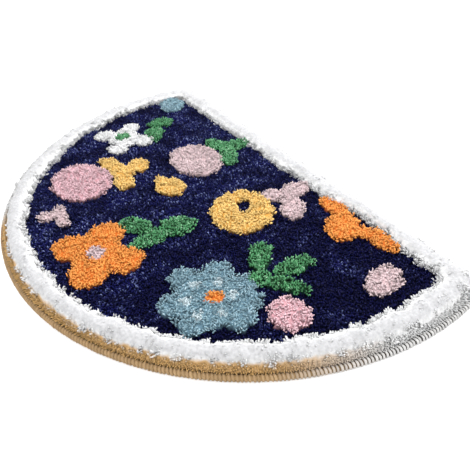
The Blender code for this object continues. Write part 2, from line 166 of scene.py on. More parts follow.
@dataclass(frozen=True)
class HalfMoon:
    """The rug's outline: a segment of a circle whose two corners are rounded.

    Args:
        width: Size along X.
        depth: Size along Y.
        corner_radius: Radius of the two corners.
    """

    width: float
    depth: float
    corner_radius: float = 0.014

    @property
    def arc_radius(self) -> float:
        """Radius of the round edge."""
        return self.width / 2

    @property
    def straight_y(self) -> float:
        """Place of the straight edge along Y."""
        return self.depth / 2

    @property
    def arc_middle_y(self) -> float:
        """Place of the arc's middle along Y."""
        return self.arc_radius - self.depth / 2

    def grid(self, spacing: float, jitter: float, seed: int) -> np.ndarray:
        """Spread jittered points in staggered rows over the rug's box.

        Args:
            spacing: Distance between neighbours.
            jitter: Largest move of a point, as a share of the spacing.
            seed: Seed of the jitter.

        Returns:
            The points' x and y, one a row.
        """
        row_gap = spacing * math.sqrt(3) / 2
        row, column = np.mgrid[0:int(self.depth / row_gap) + 2, 0:int(self.width / spacing) + 2]
        x = (column + (row % 2) / 2) * spacing - self.width / 2
        y = row * row_gap - self.depth / 2
        points = np.stack([x.ravel(), y.ravel()], axis=1)
        return points + np.random.default_rng(seed).uniform(-jitter, jitter, points.shape) * spacing

    def ring(self, inset: float, spacing: float, corner_radius: float | None = None
             ) -> tuple[np.ndarray, np.ndarray]:
        """Walk round the outline at an even spacing.

        Args:
            inset: Distance inside the rug's edge.
            spacing: Wanted distance between stations on the rug's own edge.
            corner_radius: Radius of the corners at no inset, or the rug's own.

        Returns:
            The stations' x and y, and their outward directions, one a row.
        """
        rounding = self.corner_radius if corner_radius is None else corner_radius
        corner_y = self.straight_y - rounding
        corner_x = math.sqrt((self.arc_radius - rounding) ** 2 - (corner_y - self.arc_middle_y) ** 2)
        hand_over = math.atan2(corner_y - self.arc_middle_y, corner_x)
        middles, outs = [], []

        def add_arc(middle: tuple[float, float], radius: float, start: float, end: float) -> None:
            """Add an arc's stations without its last."""
            steps = max(round(radius * (end - start) / spacing), 2)
            angles = start + (end - start) * np.arange(steps) / steps
            out = np.stack([np.cos(angles), np.sin(angles)], axis=1)
            outs.append(out)
            middles.append(np.array(middle) + out * (radius - inset))

        add_arc((0.0, self.arc_middle_y), self.arc_radius, math.pi - hand_over, FULL_TURN + hand_over)
        add_arc((corner_x, corner_y), rounding, hand_over, math.pi / 2)
        steps = round(2 * corner_x / spacing)
        along = corner_x - 2 * corner_x * np.arange(steps) / steps
        middles.append(np.stack([along, np.full(steps, self.straight_y - inset)], axis=1))
        outs.append(np.tile([0.0, 1.0], (steps, 1)))
        add_arc((-corner_x, corner_y), rounding, math.pi / 2, math.pi - hand_over)
        return np.concatenate(middles), np.concatenate(outs)

    def rim_distance(self, places: np.ndarray) -> np.ndarray:
        """Return how far each place lies inside the outline."""
        from_arc = self.arc_radius - np.hypot(places[:, 0], places[:, 1] - self.arc_middle_y)
        from_straight = self.straight_y - places[:, 1]
        blend = np.maximum(self.corner_radius - np.abs(from_arc - from_straight), 0.0)
        return np.minimum(from_arc, from_straight) - blend ** 2 / (4 * self.corner_radius)

    def fill(self, ring: np.ndarray, inset: float, spacing: float, jitter: float, seed: int
             ) -> tuple[np.ndarray, list[list[int]]]:
        """Fill a ring of stations with a flat net of triangles.

        Args:
            ring: The stations' x and y, one a row.
            inset: Their distance inside the rug's edge.
            spacing: Distance between the net's inner points.
            jitter: Largest move of an inner point, as a share of the spacing.
            seed: Seed of the jitter.

        Returns:
            The points' x and y, those of the ring first, and the corners' numbers for each face.
        """
        inner = self.grid(spacing, jitter, seed)
        inner = inner[self.rim_distance(inner) > inset + spacing * FILL_GAP]
        edges = [(number, (number + 1) % len(ring)) for number in range(len(ring))]
        points = [Vector(point) for point in np.concatenate([ring, inner])]
        flat, _, faces, _, _, _ = delaunay_2d_cdt(points, edges, [], 1, 1e-7)
        return np.array([tuple(point) for point in flat]), faces

    def outward(self, places: np.ndarray) -> np.ndarray:
        """Return the direction from each place to the nearest edge, one a row."""
        offsets = places[:, :2] - np.array([0.0, self.arc_middle_y])
        from_arc = self.arc_radius - np.hypot(offsets[:, 0], offsets[:, 1])
        nearer_straight = (self.straight_y - places[:, 1] < from_arc)[:, None]
        return np.where(nearer_straight, np.array([[0.0, 1.0]]), unit(offsets))


@dataclass(frozen=True)
class Lobe:
    """One oval of a motif: its yarn, middle, half sizes and turn in degrees."""

    yarn: Yarn
    x: float
    y: float
    half_length: float
    half_width: float
    turn: float = 0.0

    def depth(self, places: np.ndarray) -> np.ndarray:
        """Return how far each place lies inside the oval, negative outside it."""
        turn = math.radians(self.turn)
        along = (places[:, 0] - self.x) * math.cos(turn) + (places[:, 1] - self.y) * math.sin(turn)
        across = (places[:, 1] - self.y) * math.cos(turn) - (places[:, 0] - self.x) * math.sin(turn)
        share = np.hypot(along / self.half_length, across / self.half_width)
        slope = np.hypot(along / self.half_length ** 2, across / self.half_width ** 2)
        inside = (1.0 - share) * share / np.maximum(slope, 1e-9)
        return np.where(share < 0.05, self.half_width, inside)


@dataclass(frozen=True)
class Flower:
    """Petals at their turns in degrees on an oval round a heart."""

    yarn: Yarn
    x: float
    y: float
    turns: tuple[float, ...]
    reach_x: float
    reach_y: float
    petal: float
    heart: float

    def lobes(self) -> list[Lobe]:
        """Return the petals and the heart."""
        ovals = [Lobe(self.yarn, self.x + self.reach_x * math.cos(math.radians(turn)),
                      self.y + self.reach_y * math.sin(math.radians(turn)), self.petal, self.petal)
                 for turn in self.turns]
        return ovals + [Lobe(self.yarn, self.x, self.y, self.heart, self.heart * HEART_FLATNESS)]


HEART_FLATNESS = 0.85
HOLE = Lobe(Yarn.NAVY, 0.0755, 0.0903, 0.0165, 0.010, -31)
LOBES = [
    Lobe(Yarn.LIGHT_BLUE, -0.3215, 0.1705, 0.034, 0.026, -28),
    Lobe(Yarn.PALE_PINK, -0.090, 0.098, 0.056, 0.044, 0),
    Lobe(Yarn.PALE_PINK, 0.312, 0.143, 0.032, 0.022, 100),
    Lobe(Yarn.PINK, -0.1415, -0.092, 0.060, 0.050, 0),
    Lobe(Yarn.PINK, 0.2895, 0.0127, 0.0280, 0.0275, 0),
    Lobe(Yarn.YELLOW, 0.0846, 0.0804, 0.0545, 0.049, -31),
    Lobe(Yarn.YELLOW, -0.041, 0.0227, 0.030, 0.024, 10),
    Lobe(Yarn.YELLOW, -0.063, 0.0207, 0.019, 0.010, 0),
    Lobe(Yarn.GREEN, -0.259, 0.113, 0.027, 0.018, 75),
    Lobe(Yarn.GREEN, -0.224, 0.082, 0.030, 0.019, -25),
    Lobe(Yarn.GREEN, -0.095, 0.182, 0.032, 0.019, 90),
    Lobe(Yarn.GREEN, -0.113, 0.157, 0.030, 0.017, 25),
    Lobe(Yarn.GREEN, -0.070, 0.152, 0.036, 0.017, -30),
    Lobe(Yarn.GREEN, 0.0595, -0.0185, 0.030, 0.0225, 80),
    Lobe(Yarn.GREEN, 0.064, -0.062, 0.034, 0.015, 90),
    Lobe(Yarn.GREEN, 0.027, -0.065, 0.031, 0.017, 30),
    Lobe(Yarn.GREEN, 0.1853, 0.0418, 0.0315, 0.018, -42),
    Lobe(Yarn.GREEN, 0.2261, 0.0682, 0.031, 0.017, 82),
    Lobe(Yarn.GREEN, 0.250, 0.039, 0.032, 0.014, 38),
    Lobe(Yarn.GREEN, 0.217, 0.018, 0.020, 0.014, 90),
    Lobe(Yarn.PALE_PINK, 0.086, 0.178, 0.032, 0.019, 95),
    Lobe(Yarn.PALE_PINK, 0.078, 0.143, 0.022, 0.018, 60),
    Lobe(Yarn.PALE_PINK, 0.122, 0.147, 0.031, 0.020, -35),
    Lobe(Yarn.ORANGE, 0.157, 0.198, 0.031, 0.016, 0),
    Lobe(Yarn.ORANGE, 0.2005, 0.1765, 0.034, 0.026, -50),
    Lobe(Yarn.ORANGE, 0.254, 0.198, 0.030, 0.017, 0),
    Lobe(Yarn.ORANGE, 0.225, 0.189, 0.018, 0.014, 20),
    Lobe(Yarn.YELLOW, -0.135, 0.008, 0.022, 0.021, 0),
    Lobe(Yarn.YELLOW, -0.168, -0.031, 0.025, 0.017, 15),
    Lobe(Yarn.YELLOW, -0.132, -0.024, 0.026, 0.021, 0),
    Lobe(Yarn.YELLOW, -0.098, -0.033, 0.024, 0.017, -15),
    Lobe(Yarn.PALE_PINK, -0.076, -0.150, 0.019, 0.013, 0),
    Lobe(Yarn.PALE_PINK, -0.053, -0.153, 0.019, 0.010, 10),
    Lobe(Yarn.PALE_PINK, -0.079, -0.168, 0.016, 0.013, 70),
]
FLOWERS = [
    Flower(Yarn.WHITE, -0.2435, 0.0282, (45, 135, 225, 315), 0.0448, 0.0365, 0.0190, 0.034),
    Flower(Yarn.ORANGE, 0.050, -0.137, (45, 135, 225, 315), 0.0468, 0.0350, 0.0285, 0.044),
    Flower(Yarn.LIGHT_BLUE, 0.2120, -0.0515, (15, 52, 85, 134, 195, 256, 299), 0.0500, 0.0440, 0.0215, 0.054),
]
EYES = [
    Lobe(Yarn.GREEN, -0.2484, 0.0269, 0.0145, 0.0145),
    Lobe(Yarn.PALE_PINK, 0.050, -0.137, 0.013, 0.013),
    Lobe(Yarn.ORANGE, 0.2145, -0.0473, 0.0115, 0.0115),
]
# Pale spots round the light-blue flower's eye
SPOT_COUNT = 6
SPOT_MIDDLE = (0.2137, -0.0543)
SPOT_FIRST_TURN = math.radians(5)
SPOT_REACH = 0.030
SPOT_RADIUS = 0.0066


@dataclass
class Design:
    """Which pile and yarn a place on the rug has.

    Args:
        outline: The rug's outline.
        border_width: Width of the border.
        narrowing: How much narrower the border gets along a part of the round edge.
        narrowest_turn: Direction from the arc's middle in which it is narrowest.
        narrow_span: Cosines to that direction between which the narrowing grows to its full.
        border_wander: How far the border's inner edge wanders.
        wander_length: Length over which it wanders.
        wander_slice: Which slice of the noise it follows.
        tuck_x: Place along X where the straight edge's border is tucked in by the orange sprig.
        tuck_half_length: Half length of the tuck.
        tuck_depth: Depth of the tuck.
        motif_margin: How much smaller than its ovals a motif is tufted.
        raggedness: How far the edges of the colours are moved.
        ragged_size: Length over which that changes.
    """

    outline: HalfMoon
    border_width: float = 0.0446
    narrowing: float = 0.0065
    narrowest_turn: float = math.radians(-62)
    narrow_span: tuple[float, float] = (0.3, 0.7)
    border_wander: float = 0.0050
    wander_length: float = 0.024
    wander_slice: float = 0.3
    tuck_x: float = 0.206
    tuck_half_length: float = 0.084
    tuck_depth: float = 0.008
    motif_margin: float = 0.0022
    raggedness: float = 0.0036
    ragged_size: float = 0.007

    def __post_init__(self) -> None:
        """Collect the ovals of all motifs, and the eyes and spots that only change the yarn."""
        self.ovals = LOBES + [lobe for flower in FLOWERS for lobe in flower.lobes()]
        self.eyes = list(EYES)
        for number in range(SPOT_COUNT):
            turn = SPOT_FIRST_TURN + FULL_TURN * number / SPOT_COUNT
            x, y = SPOT_MIDDLE[0] + SPOT_REACH * math.cos(turn), SPOT_MIDDLE[1] + SPOT_REACH * math.sin(turn)
            self.eyes.append(Lobe(Yarn.PALE_BLUE, x, y, SPOT_RADIUS, SPOT_RADIUS))

    def border_inner(self, places: np.ndarray) -> np.ndarray:
        """Return how far inside the rim the border ends at each place."""
        wander = self.border_wander * np.array([
            noise.noise(Vector((x, y, self.wander_slice)) / self.wander_length) for x, y in places[:, :2]])
        directions = unit(places[:, :2] - np.array([0.0, self.outline.arc_middle_y]))
        towards = directions @ np.array([math.cos(self.narrowest_turn), math.sin(self.narrowest_turn)])
        start, full = self.narrow_span
        share = np.clip((towards - start) / (full - start), 0.0, 1.0)
        narrowed = self.narrowing * share ** 2 * (3.0 - 2.0 * share)
        off_tuck = np.abs(places[:, 0] - self.tuck_x) / self.tuck_half_length
        tucked = (places[:, 1] > self.outline.arc_middle_y) & (off_tuck < 1.0)
        tuck = np.where(tucked, self.tuck_depth * (1.0 - off_tuck ** 4), 0.0)
        return self.border_width + wander - narrowed - tuck

    def motif_depth(self, places: np.ndarray) -> np.ndarray:
        """Return how far each place lies inside the raised motifs."""
        depths = np.max([oval.depth(places) for oval in self.ovals], axis=0)
        return np.minimum(depths, -HOLE.depth(places))

    def ragged(self, places: np.ndarray) -> np.ndarray:
        """Return the places moved a little, which makes the colours' edges uneven."""
        return places[:, :2] + soft_shift(places, self.ragged_size, (4.0, 9.0)) * self.raggedness

    def read(self, places: np.ndarray, inset: float = 0.0) -> tuple[np.ndarray, np.ndarray]:
        """Find the pile and the yarn at each place.

        Args:
            places: Points, one a row.
            inset: How much smaller the motifs are taken.

        Returns:
            The numbers of the kinds of pile, and the numbers of the yarns.
        """
        asked = self.ragged(places)
        depths = np.array([oval.depth(asked) for oval in self.ovals])
        yarn_numbers = np.array([YARNS.index(oval.yarn) for oval in self.ovals])[np.argmax(depths, axis=0)]
        for eye in self.eyes:
            yarn_numbers = np.where(eye.depth(asked) > 0.0, YARNS.index(eye.yarn), yarn_numbers)
        in_motif = np.minimum(np.max(depths, axis=0) - self.motif_margin, -HOLE.depth(asked)) > inset
        in_border = self.outline.rim_distance(asked) < self.border_inner(places)
        inside = np.where(in_motif, Pile.MOTIF.value, Pile.FIELD.value)
        kinds = np.where(in_border, Pile.BORDER.value, inside)
        yarn_numbers = np.where(in_motif, yarn_numbers, YARNS.index(Yarn.NAVY))
        return kinds, np.where(in_border, YARNS.index(Yarn.WHITE), yarn_numbers)


@dataclass(frozen=True)
class PileHeights:
    """Heights above the floor that the tips of each pile reach.

    Args:
        field: The field's.
        motif: The motifs'.
        motif_edge_drop: How far a motif's edge lies under its middle.
        edge_run: Distance over which it drops there.
        border_rim: The border's at the rim.
        border_inner: The border's at its inner edge.
        border_crown: The border's in its middle.
        border_arch_power: How square the arch between them is.
        shoulder_inset: Distance inside the rug's edge at which the border's upper side starts.
    """

    field: float = 0.0162
    motif: float = 0.0216
    motif_edge_drop: float = 0.0018
    edge_run: float = 0.0050
    border_rim: float = 0.0190
    border_inner: float = 0.0210
    border_crown: float = 0.0262
    border_arch_power: float = 2.2
    shoulder_inset: float = 0.0120

    def border(self, design: Design, places: np.ndarray) -> np.ndarray:
        """Return the arched height of the border's tips at each place."""
        across = self.border_share(design, places)
        side = np.where(across < 0.5, self.border_rim, self.border_inner)
        arch = 1.0 - np.minimum(np.abs(2.0 * across - 1.0), 1.0) ** self.border_arch_power
        return side + (self.border_crown - side) * arch

    def border_share(self, design: Design, places: np.ndarray) -> np.ndarray:
        """Return how far across the border each place lies, 0 at the rim and 1 at the inner edge."""
        run = design.border_inner(places) - self.shoulder_inset
        return np.clip((design.outline.rim_distance(places) - self.shoulder_inset) / run, 0.0, 1.0)

    def read(self, design: Design, places: np.ndarray, kinds: np.ndarray) -> np.ndarray:
        """Return the height that the tips reach at each place."""
        edge = np.clip(design.motif_depth(places) / self.edge_run, 0.0, 1.0)
        motif = self.motif - self.motif_edge_drop * (1.0 - edge) ** 2
        chosen = np.where(kinds == Pile.MOTIF.value, motif, self.field)
        return np.where(kinds == Pile.BORDER.value, self.border(design, places), chosen)


@dataclass(frozen=True)
class TuftCut:
    """How the yarn ends of one tuft are cut and how they stand.

    Args:
        ends: Yarn ends in the tuft.
        length: Height that an end reaches.
        thickness: Thickness of an end at its widest.
        spread: Distance of the ends' roots from the tuft's middle.
        reach: How far an end curls over to its side, as a share of its height.
        bow: How far an end bows aside, as a share of its height.
        rings: Share of the length and share of the thickness at each ring, root first.
        sides: Sides of an end.
        variants: How many unlike tufts are made.
    """

    ends: int
    length: float
    thickness: float
    spread: float
    reach: float
    bow: float
    rings: tuple[tuple[float, float], ...]
    sides: int = 3
    variants: int = 14


FIELD_CUT = TuftCut(ends=3, length=0.0052, thickness=0.0022, spread=0.0012, reach=0.62, bow=0.30,
                    rings=((0.0, 0.85), (0.60, 1.0)))
MOTIF_CUT = TuftCut(ends=6, length=0.0062, thickness=0.0022, spread=0.0017, reach=0.50, bow=0.22,
                    rings=((0.0, 0.8), (0.60, 1.0)))
BORDER_CUT = TuftCut(ends=5, length=0.0105, thickness=0.0032, spread=0.0019, reach=0.30, bow=0.16,
                     rings=((0.0, 0.7), (0.40, 1.0), (0.76, 0.66)))
SKIRT_CUT = TuftCut(ends=2, length=0.0064, thickness=0.0016, spread=0.0012, reach=0.16, bow=0.10,
                    rings=((0.0, 0.85), (0.50, 1.0), (0.86, 0.75)))
FRINGE_CUT = TuftCut(ends=3, length=0.0066, thickness=0.0018, spread=0.0010, reach=0.24, bow=0.16,
                     rings=((0.0, 0.9), (0.55, 0.9)))


def new_strands() -> bmesh.types.BMesh:
    """Return an empty mesh whose points carry the share of the length and the strand."""
    mesh = bmesh.new()
    for name in ("along", "strand"):
        mesh.verts.layers.float.new(name)
    return mesh


def smooth_shape(mesh: bmesh.types.BMesh, name: str) -> bpy.types.Object:
    """Turn a mesh into a smooth object that isn't in the scene, and free it."""
    data = bpy.data.meshes.new(name)
    mesh.to_mesh(data)
    mesh.free()
    data.shade_smooth()
    return bpy.data.objects.new(data.name, data)


class TuftMaker:
    """Makes the unlike tufts of one cut, root at the origin and standing along +Z."""

    ROOT_TURN = 0.3  # Largest stray of an end's root, as a share of the gap between ends
    CURL_TURN = 1.1  # Largest turn of an end's curl from its root's side, in radians
    HEIGHT_SHARES = (0.78, 1.0)
    REACH_SHARES = (0.6, 1.3)
    TWISTS = (0.5, 1.4)

    def __init__(self, cut: TuftCut, name: str, seed: int) -> None:
        """Keep the cut and seed the dice."""
        self.cut = cut
        self.name = name
        self.dice = random.Random(seed)

    def end_path(self, number: int) -> list[Vector]:
        """Draw the middle line of one yarn end.

        Args:
            number: Which end of the tuft it is.

        Returns:
            A point for each ring and one for the tip.
        """
        cut, dice = self.cut, self.dice
        turn = FULL_TURN * (number + dice.uniform(-self.ROOT_TURN, self.ROOT_TURN)) / cut.ends
        away = Vector((math.cos(turn), math.sin(turn), 0.0))
        turn += dice.uniform(-self.CURL_TURN, self.CURL_TURN)
        over = Vector((math.cos(turn), math.sin(turn), 0.0))
        aside = Vector((-over.y, over.x, 0.0))
        height = cut.length * dice.uniform(*self.HEIGHT_SHARES)
        reach = height * cut.reach * dice.uniform(*self.REACH_SHARES)
        bow = height * cut.bow * dice.uniform(-1.0, 1.0)
        path = []
        for share, _ in cut.rings + ((1.0, 0.0),):
            bend = math.pi / 2 * share
            rise = Vector((0, 0, height * math.sin(bend)))
            point = away * cut.spread + over * (reach * (1.0 - math.cos(bend))) + rise
            path.append(point + aside * (bow * math.sin(math.pi * share)))
        return path

    def add_end(self, mesh: bmesh.types.BMesh, number: int) -> None:
        """Add one yarn end to a tuft's mesh.

        Args:
            mesh: The tuft's mesh, with layers for the share of the length and for the strand.
            number: Which end of the tuft it is.
        """
        along_layer = mesh.verts.layers.float["along"]
        strand_layer = mesh.verts.layers.float["strand"]
        path = self.end_path(number)
        strand = self.dice.random()
        twist = self.dice.uniform(*self.TWISTS) * self.dice.choice((-1, 1))
        first = self.dice.uniform(0, FULL_TURN)
        rings = []
        for index, (share, width) in enumerate(self.cut.rings):
            tangent = (path[index + 1] - path[max(index - 1, 0)]).normalized()
            right = tangent.orthogonal().normalized()
            up = tangent.cross(right)
            radius = self.cut.thickness / 2 * width
            ring = []
            for side in range(self.cut.sides):
                angle = first + twist * share + FULL_TURN * side / self.cut.sides
                offset = (right * math.cos(angle) + up * math.sin(angle)) * radius
                ring.append(mesh.verts.new(path[index] + offset))
                ring[-1][along_layer] = share
                ring[-1][strand_layer] = strand
            rings.append(ring)
        tip = mesh.verts.new(path[-1])
        tip[along_layer] = 1.0
        tip[strand_layer] = strand
        for lower, upper in zip(rings, rings[1:]):
            bridge(mesh, lower, upper)
        for side in range(self.cut.sides):
            mesh.faces.new((rings[-1][side], rings[-1][(side + 1) % self.cut.sides], tip))
        mesh.faces.new(list(reversed(rings[0])))

    def tuft(self, number: int) -> bpy.types.Object:
        """Return one tuft as an object."""
        mesh = new_strands()
        for end in range(self.cut.ends):
            self.add_end(mesh, end)
        return smooth_shape(mesh, f"{self.name}_{number:02d}")

    def collection(self) -> bpy.types.Collection:
        """Return a collection of all the cut's tufts."""
        tufts = bpy.data.collections.new(self.name)
        for number in range(self.cut.variants):
            tufts.objects.link(self.tuft(number))
        return tufts


@dataclass
class Anchors:
    """Where tufts or stitches stand, one a row.

    Args:
        places: Their roots.
        leans: The directions in which they stand.
        sizes: Their scales.
        tones: Their brightness, 0 dull to 1 bright.
        spins: Their turns about their own axis, in radians.
        surfaces: The directions in which the pile's surface faces there.
    """

    places: np.ndarray
    leans: np.ndarray
    sizes: np.ndarray
    tones: np.ndarray
    spins: np.ndarray
    surfaces: np.ndarray

    def chosen(self, mask: np.ndarray) -> "Anchors":
        """Return the rows that a mask picks."""
        return Anchors(*(getattr(self, row.name)[mask] for row in fields(self)))

    @staticmethod
    def joined(parts: list["Anchors"]) -> "Anchors":
        """Return the rows of several."""
        names = [row.name for row in fields(Anchors)]
        return Anchors(*(np.concatenate([getattr(part, name) for part in parts]) for name in names))

    def as_object(self, name: str) -> bpy.types.Object:
        """Return a mesh of loose points that carry the rows as attributes."""
        data = bpy.data.meshes.new(name)
        data.vertices.add(len(self.places))
        data.vertices.foreach_set("co", self.places.astype(np.float32).ravel())
        for label, rows in (("lean", self.leans), ("surface", self.surfaces)):
            data.attributes.new(label, "FLOAT_VECTOR", "POINT").data.foreach_set("vector", rows.ravel())
        for label, row in (("size", self.sizes), ("tone", self.tones), ("spin", self.spins)):
            data.attributes.new(label, "FLOAT", "POINT").data.foreach_set("value", row)
        anchor = bpy.data.objects.new(name, data)
        bpy.context.scene.collection.objects.link(anchor)
        return anchor


class Bench:
    """Adds and links the nodes of one shader tree."""

    def __init__(self, tree: bpy.types.NodeTree) -> None:
        """Keep the tree."""
        self.tree = tree

    def put(self, value: object, target: Socket) -> None:
        """Link a socket to a target, or set the target to a value."""
        if isinstance(value, Socket):
            self.tree.links.new(value, target)
        else:
            target.default_value = value

    def node(self, kind: str, inputs: dict[str | int, object] | None = None, **settings: object
             ) -> bpy.types.Node:
        """Add a node, set its settings and fill its inputs."""
        node = self.tree.nodes.new(kind)
        for name, value in settings.items():
            setattr(node, name, value)
        for name, value in (inputs or {}).items():
            self.put(value, node.inputs[name])
        return node

    def math(self, operation: str, first: object, second: object = 0.0) -> Socket:
        """Return the outcome of a sum on two values."""
        node = self.tree.nodes.new("ShaderNodeMath")
        node.operation = operation
        self.put(first, node.inputs[0])
        self.put(second, node.inputs[1])
        return node.outputs[0]

    def span(self, value: object, low: float, high: float, start: float = 0.0, end: float = 1.0,
             kind: str = "SMOOTHSTEP") -> Socket:
        """Return a value mapped from low..high to start..end, and held beyond."""
        node = self.node("ShaderNodeMapRange", {"Value": value, "From Min": low, "From Max": high,
                                                "To Min": start, "To Max": end}, interpolation_type=kind)
        return node.outputs["Result"]

    def mix(self, factor: object, first: object, second: object, blend: str = "MIX") -> Socket:
        """Return two colours mixed by a factor."""
        node = self.tree.nodes.new("ShaderNodeMix")
        node.data_type = "RGBA"
        node.blend_type = blend
        sockets = {socket.identifier: socket for socket in node.inputs}
        self.put(factor, sockets["Factor_Float"])
        self.put((*first, 1.0) if isinstance(first, tuple) else first, sockets["A_Color"])
        self.put((*second, 1.0) if isinstance(second, tuple) else second, sockets["B_Color"])
        return [socket for socket in node.outputs if socket.identifier == "Result_Color"][0]

    def grey(self, value: object) -> Socket:
        """Return a value as a grey colour."""
        return self.node("ShaderNodeCombineColor", {"Red": value, "Green": value, "Blue": value}).outputs[0]

    def attribute(self, name: str, output: str = "Fac") -> Socket:
        """Return an attribute of the mesh."""
        return self.node("ShaderNodeAttribute", attribute_name=name).outputs[output]

    def point_attribute(self, name: str, kind: str) -> Socket:
        """Return a named attribute of the points in a geometry tree."""
        node = self.node("GeometryNodeInputNamedAttribute", {"Name": name}, data_type=kind)
        return node.outputs["Attribute"]

    def object_place(self) -> Socket:
        """Return the object coordinates."""
        return self.node("ShaderNodeTexCoord").outputs["Object"]

    def noise(self, scale: object, detail: float) -> Socket:
        """Return a noise in object coordinates, about 0.3 to 0.7."""
        inputs = {"Vector": self.object_place(), "Scale": scale, "Detail": detail}
        return self.node("ShaderNodeTexNoise", inputs).outputs[0]

    def minus(self, first: object, second: object) -> Socket:
        """Return a value less another."""
        return self.math("SUBTRACT", first, second)

    def plus(self, first: object, second: object) -> Socket:
        """Return two values added."""
        return self.math("ADD", first, second)

    def times(self, first: object, second: object) -> Socket:
        """Return two values multiplied."""
        return self.math("MULTIPLY", first, second)

    def multiplied(self, colour: object, other: object) -> Socket:
        """Return two colours multiplied."""
        return self.mix(1.0, colour, other, "MULTIPLY")

    def bump(self, height: Socket, strength: object, distance: float) -> Socket:
        """Return the normal of a bumpy surface."""
        inputs = {"Strength": strength, "Distance": distance, "Height": height}
        return self.node("ShaderNodeBump", inputs).outputs[0]

    def group(self, tree: bpy.types.NodeTree, inputs: dict[str, object]) -> bpy.types.Node:
        """Add a node group and fill its inputs."""
        node = self.tree.nodes.new("ShaderNodeGroup")
        node.node_tree = tree
        for name, value in inputs.items():
            self.put(value, node.inputs[name])
        return node


def forget(shapes: bpy.types.Collection) -> None:
    """Remove a collection of shapes after it has been planted."""
    for shape in list(shapes.objects):
        data = shape.data
        bpy.data.objects.remove(shape)
        bpy.data.meshes.remove(data)
    bpy.data.collections.remove(shapes)


class Planter:
    """Sets shapes from a collection on anchors with Geometry Nodes, and returns plain meshes."""

    def __init__(self) -> None:
        """Build the tree once."""
        self.tree = self.build_tree()

    def build_tree(self) -> bpy.types.NodeTree:
        """Return the tree: pick a shape for each point, turn it, size it and make it real."""
        tree = bpy.data.node_groups.new("plant_on_anchors", "GeometryNodeTree")
        for label, kind in (("Anchors", "Geometry"), ("Shapes", "Collection"), ("Seed", "Int"),
                            ("Shape count", "Int"), ("Yarn", "Material")):
            tree.interface.new_socket(label, in_out="INPUT", socket_type=f"NodeSocket{kind}")
        tree.interface.new_socket("Pile", in_out="OUTPUT", socket_type="NodeSocketGeometry")
        bench = Bench(tree)
        given = bench.node("NodeGroupInput").outputs
        shapes = bench.node("GeometryNodeCollectionInfo", {
            "Collection": given["Shapes"], "Separate Children": True, "Reset Children": True})
        pick = bench.node("FunctionNodeRandomValue", data_type="INT")
        sockets = {socket.identifier: socket for socket in (*pick.inputs, *pick.outputs)}
        bench.put(bench.minus(given["Shape count"], 1.0), sockets["Max_002"])
        bench.put(given["Seed"], sockets["Seed"])
        turn = bench.node("ShaderNodeCombineXYZ", {"Z": bench.point_attribute("spin", "FLOAT")})
        upright = bench.node("FunctionNodeEulerToRotation", {0: turn.outputs[0]})
        align = bench.node("FunctionNodeAlignRotationToVector", {
            "Rotation": upright.outputs[0],
            "Vector": bench.point_attribute("lean", "FLOAT_VECTOR")}, axis="Z")
        planted = bench.node("GeometryNodeInstanceOnPoints", {
            "Points": given["Anchors"], "Instance": shapes.outputs[0], "Pick Instance": True,
            "Instance Index": sockets["Value_002"], "Rotation": align.outputs[0],
            "Scale": bench.point_attribute("size", "FLOAT")})
        real = bench.node("GeometryNodeRealizeInstances", {0: planted.outputs[0]})
        dressed = bench.node("GeometryNodeSetMaterial", {
            "Geometry": real.outputs[0], "Material": given["Yarn"]})
        bench.put(dressed.outputs[0], bench.node("NodeGroupOutput").inputs[0])
        return tree

    def plant(self, name: str, anchors: Anchors, shapes: bpy.types.Collection, finish: bpy.types.Material,
              seed: int) -> bpy.types.Object:
        """Plant shapes on anchors.

        Args:
            name: Name of the piece.
            anchors: Where the shapes stand.
            shapes: The collection that they are picked from.
            finish: The material of the piece.
            seed: Seed of the picks.

        Returns:
            The piece as a plain mesh object.
        """
        holder = anchors.as_object(f"{name}_anchors")
        modifier = holder.modifiers.new("plant", "NODES")
        modifier.node_group = self.tree
        given = {"Shapes": shapes, "Seed": seed, "Shape count": len(shapes.objects), "Yarn": finish}
        for item in self.tree.interface.items_tree:
            if item.name in given:
                modifier[item.identifier] = given[item.name]
        depsgraph = bpy.context.evaluated_depsgraph_get()
        mesh = bpy.data.meshes.new_from_object(holder.evaluated_get(depsgraph))
        mesh.name = name
        points = holder.data
        bpy.data.objects.remove(holder)
        bpy.data.meshes.remove(points)
        piece = bpy.data.objects.new(name, mesh)
        bpy.context.scene.collection.objects.link(piece)
        return piece

    def plant_all(self, maker: TuftMaker, parts: list[tuple[str, Anchors, bpy.types.Material, int]]
                  ) -> list[bpy.types.Object]:
        """Plant several pieces from the tufts of one cut.

        Args:
            maker: The maker of the tufts.
            parts: Name, anchors, material and seed of each piece.

        Returns:
            The pieces.
        """
        tufts = maker.collection()
        pieces = [self.plant(name, anchors, tufts, finish, seed) for name, anchors, finish, seed in parts]
        forget(tufts)
        return pieces


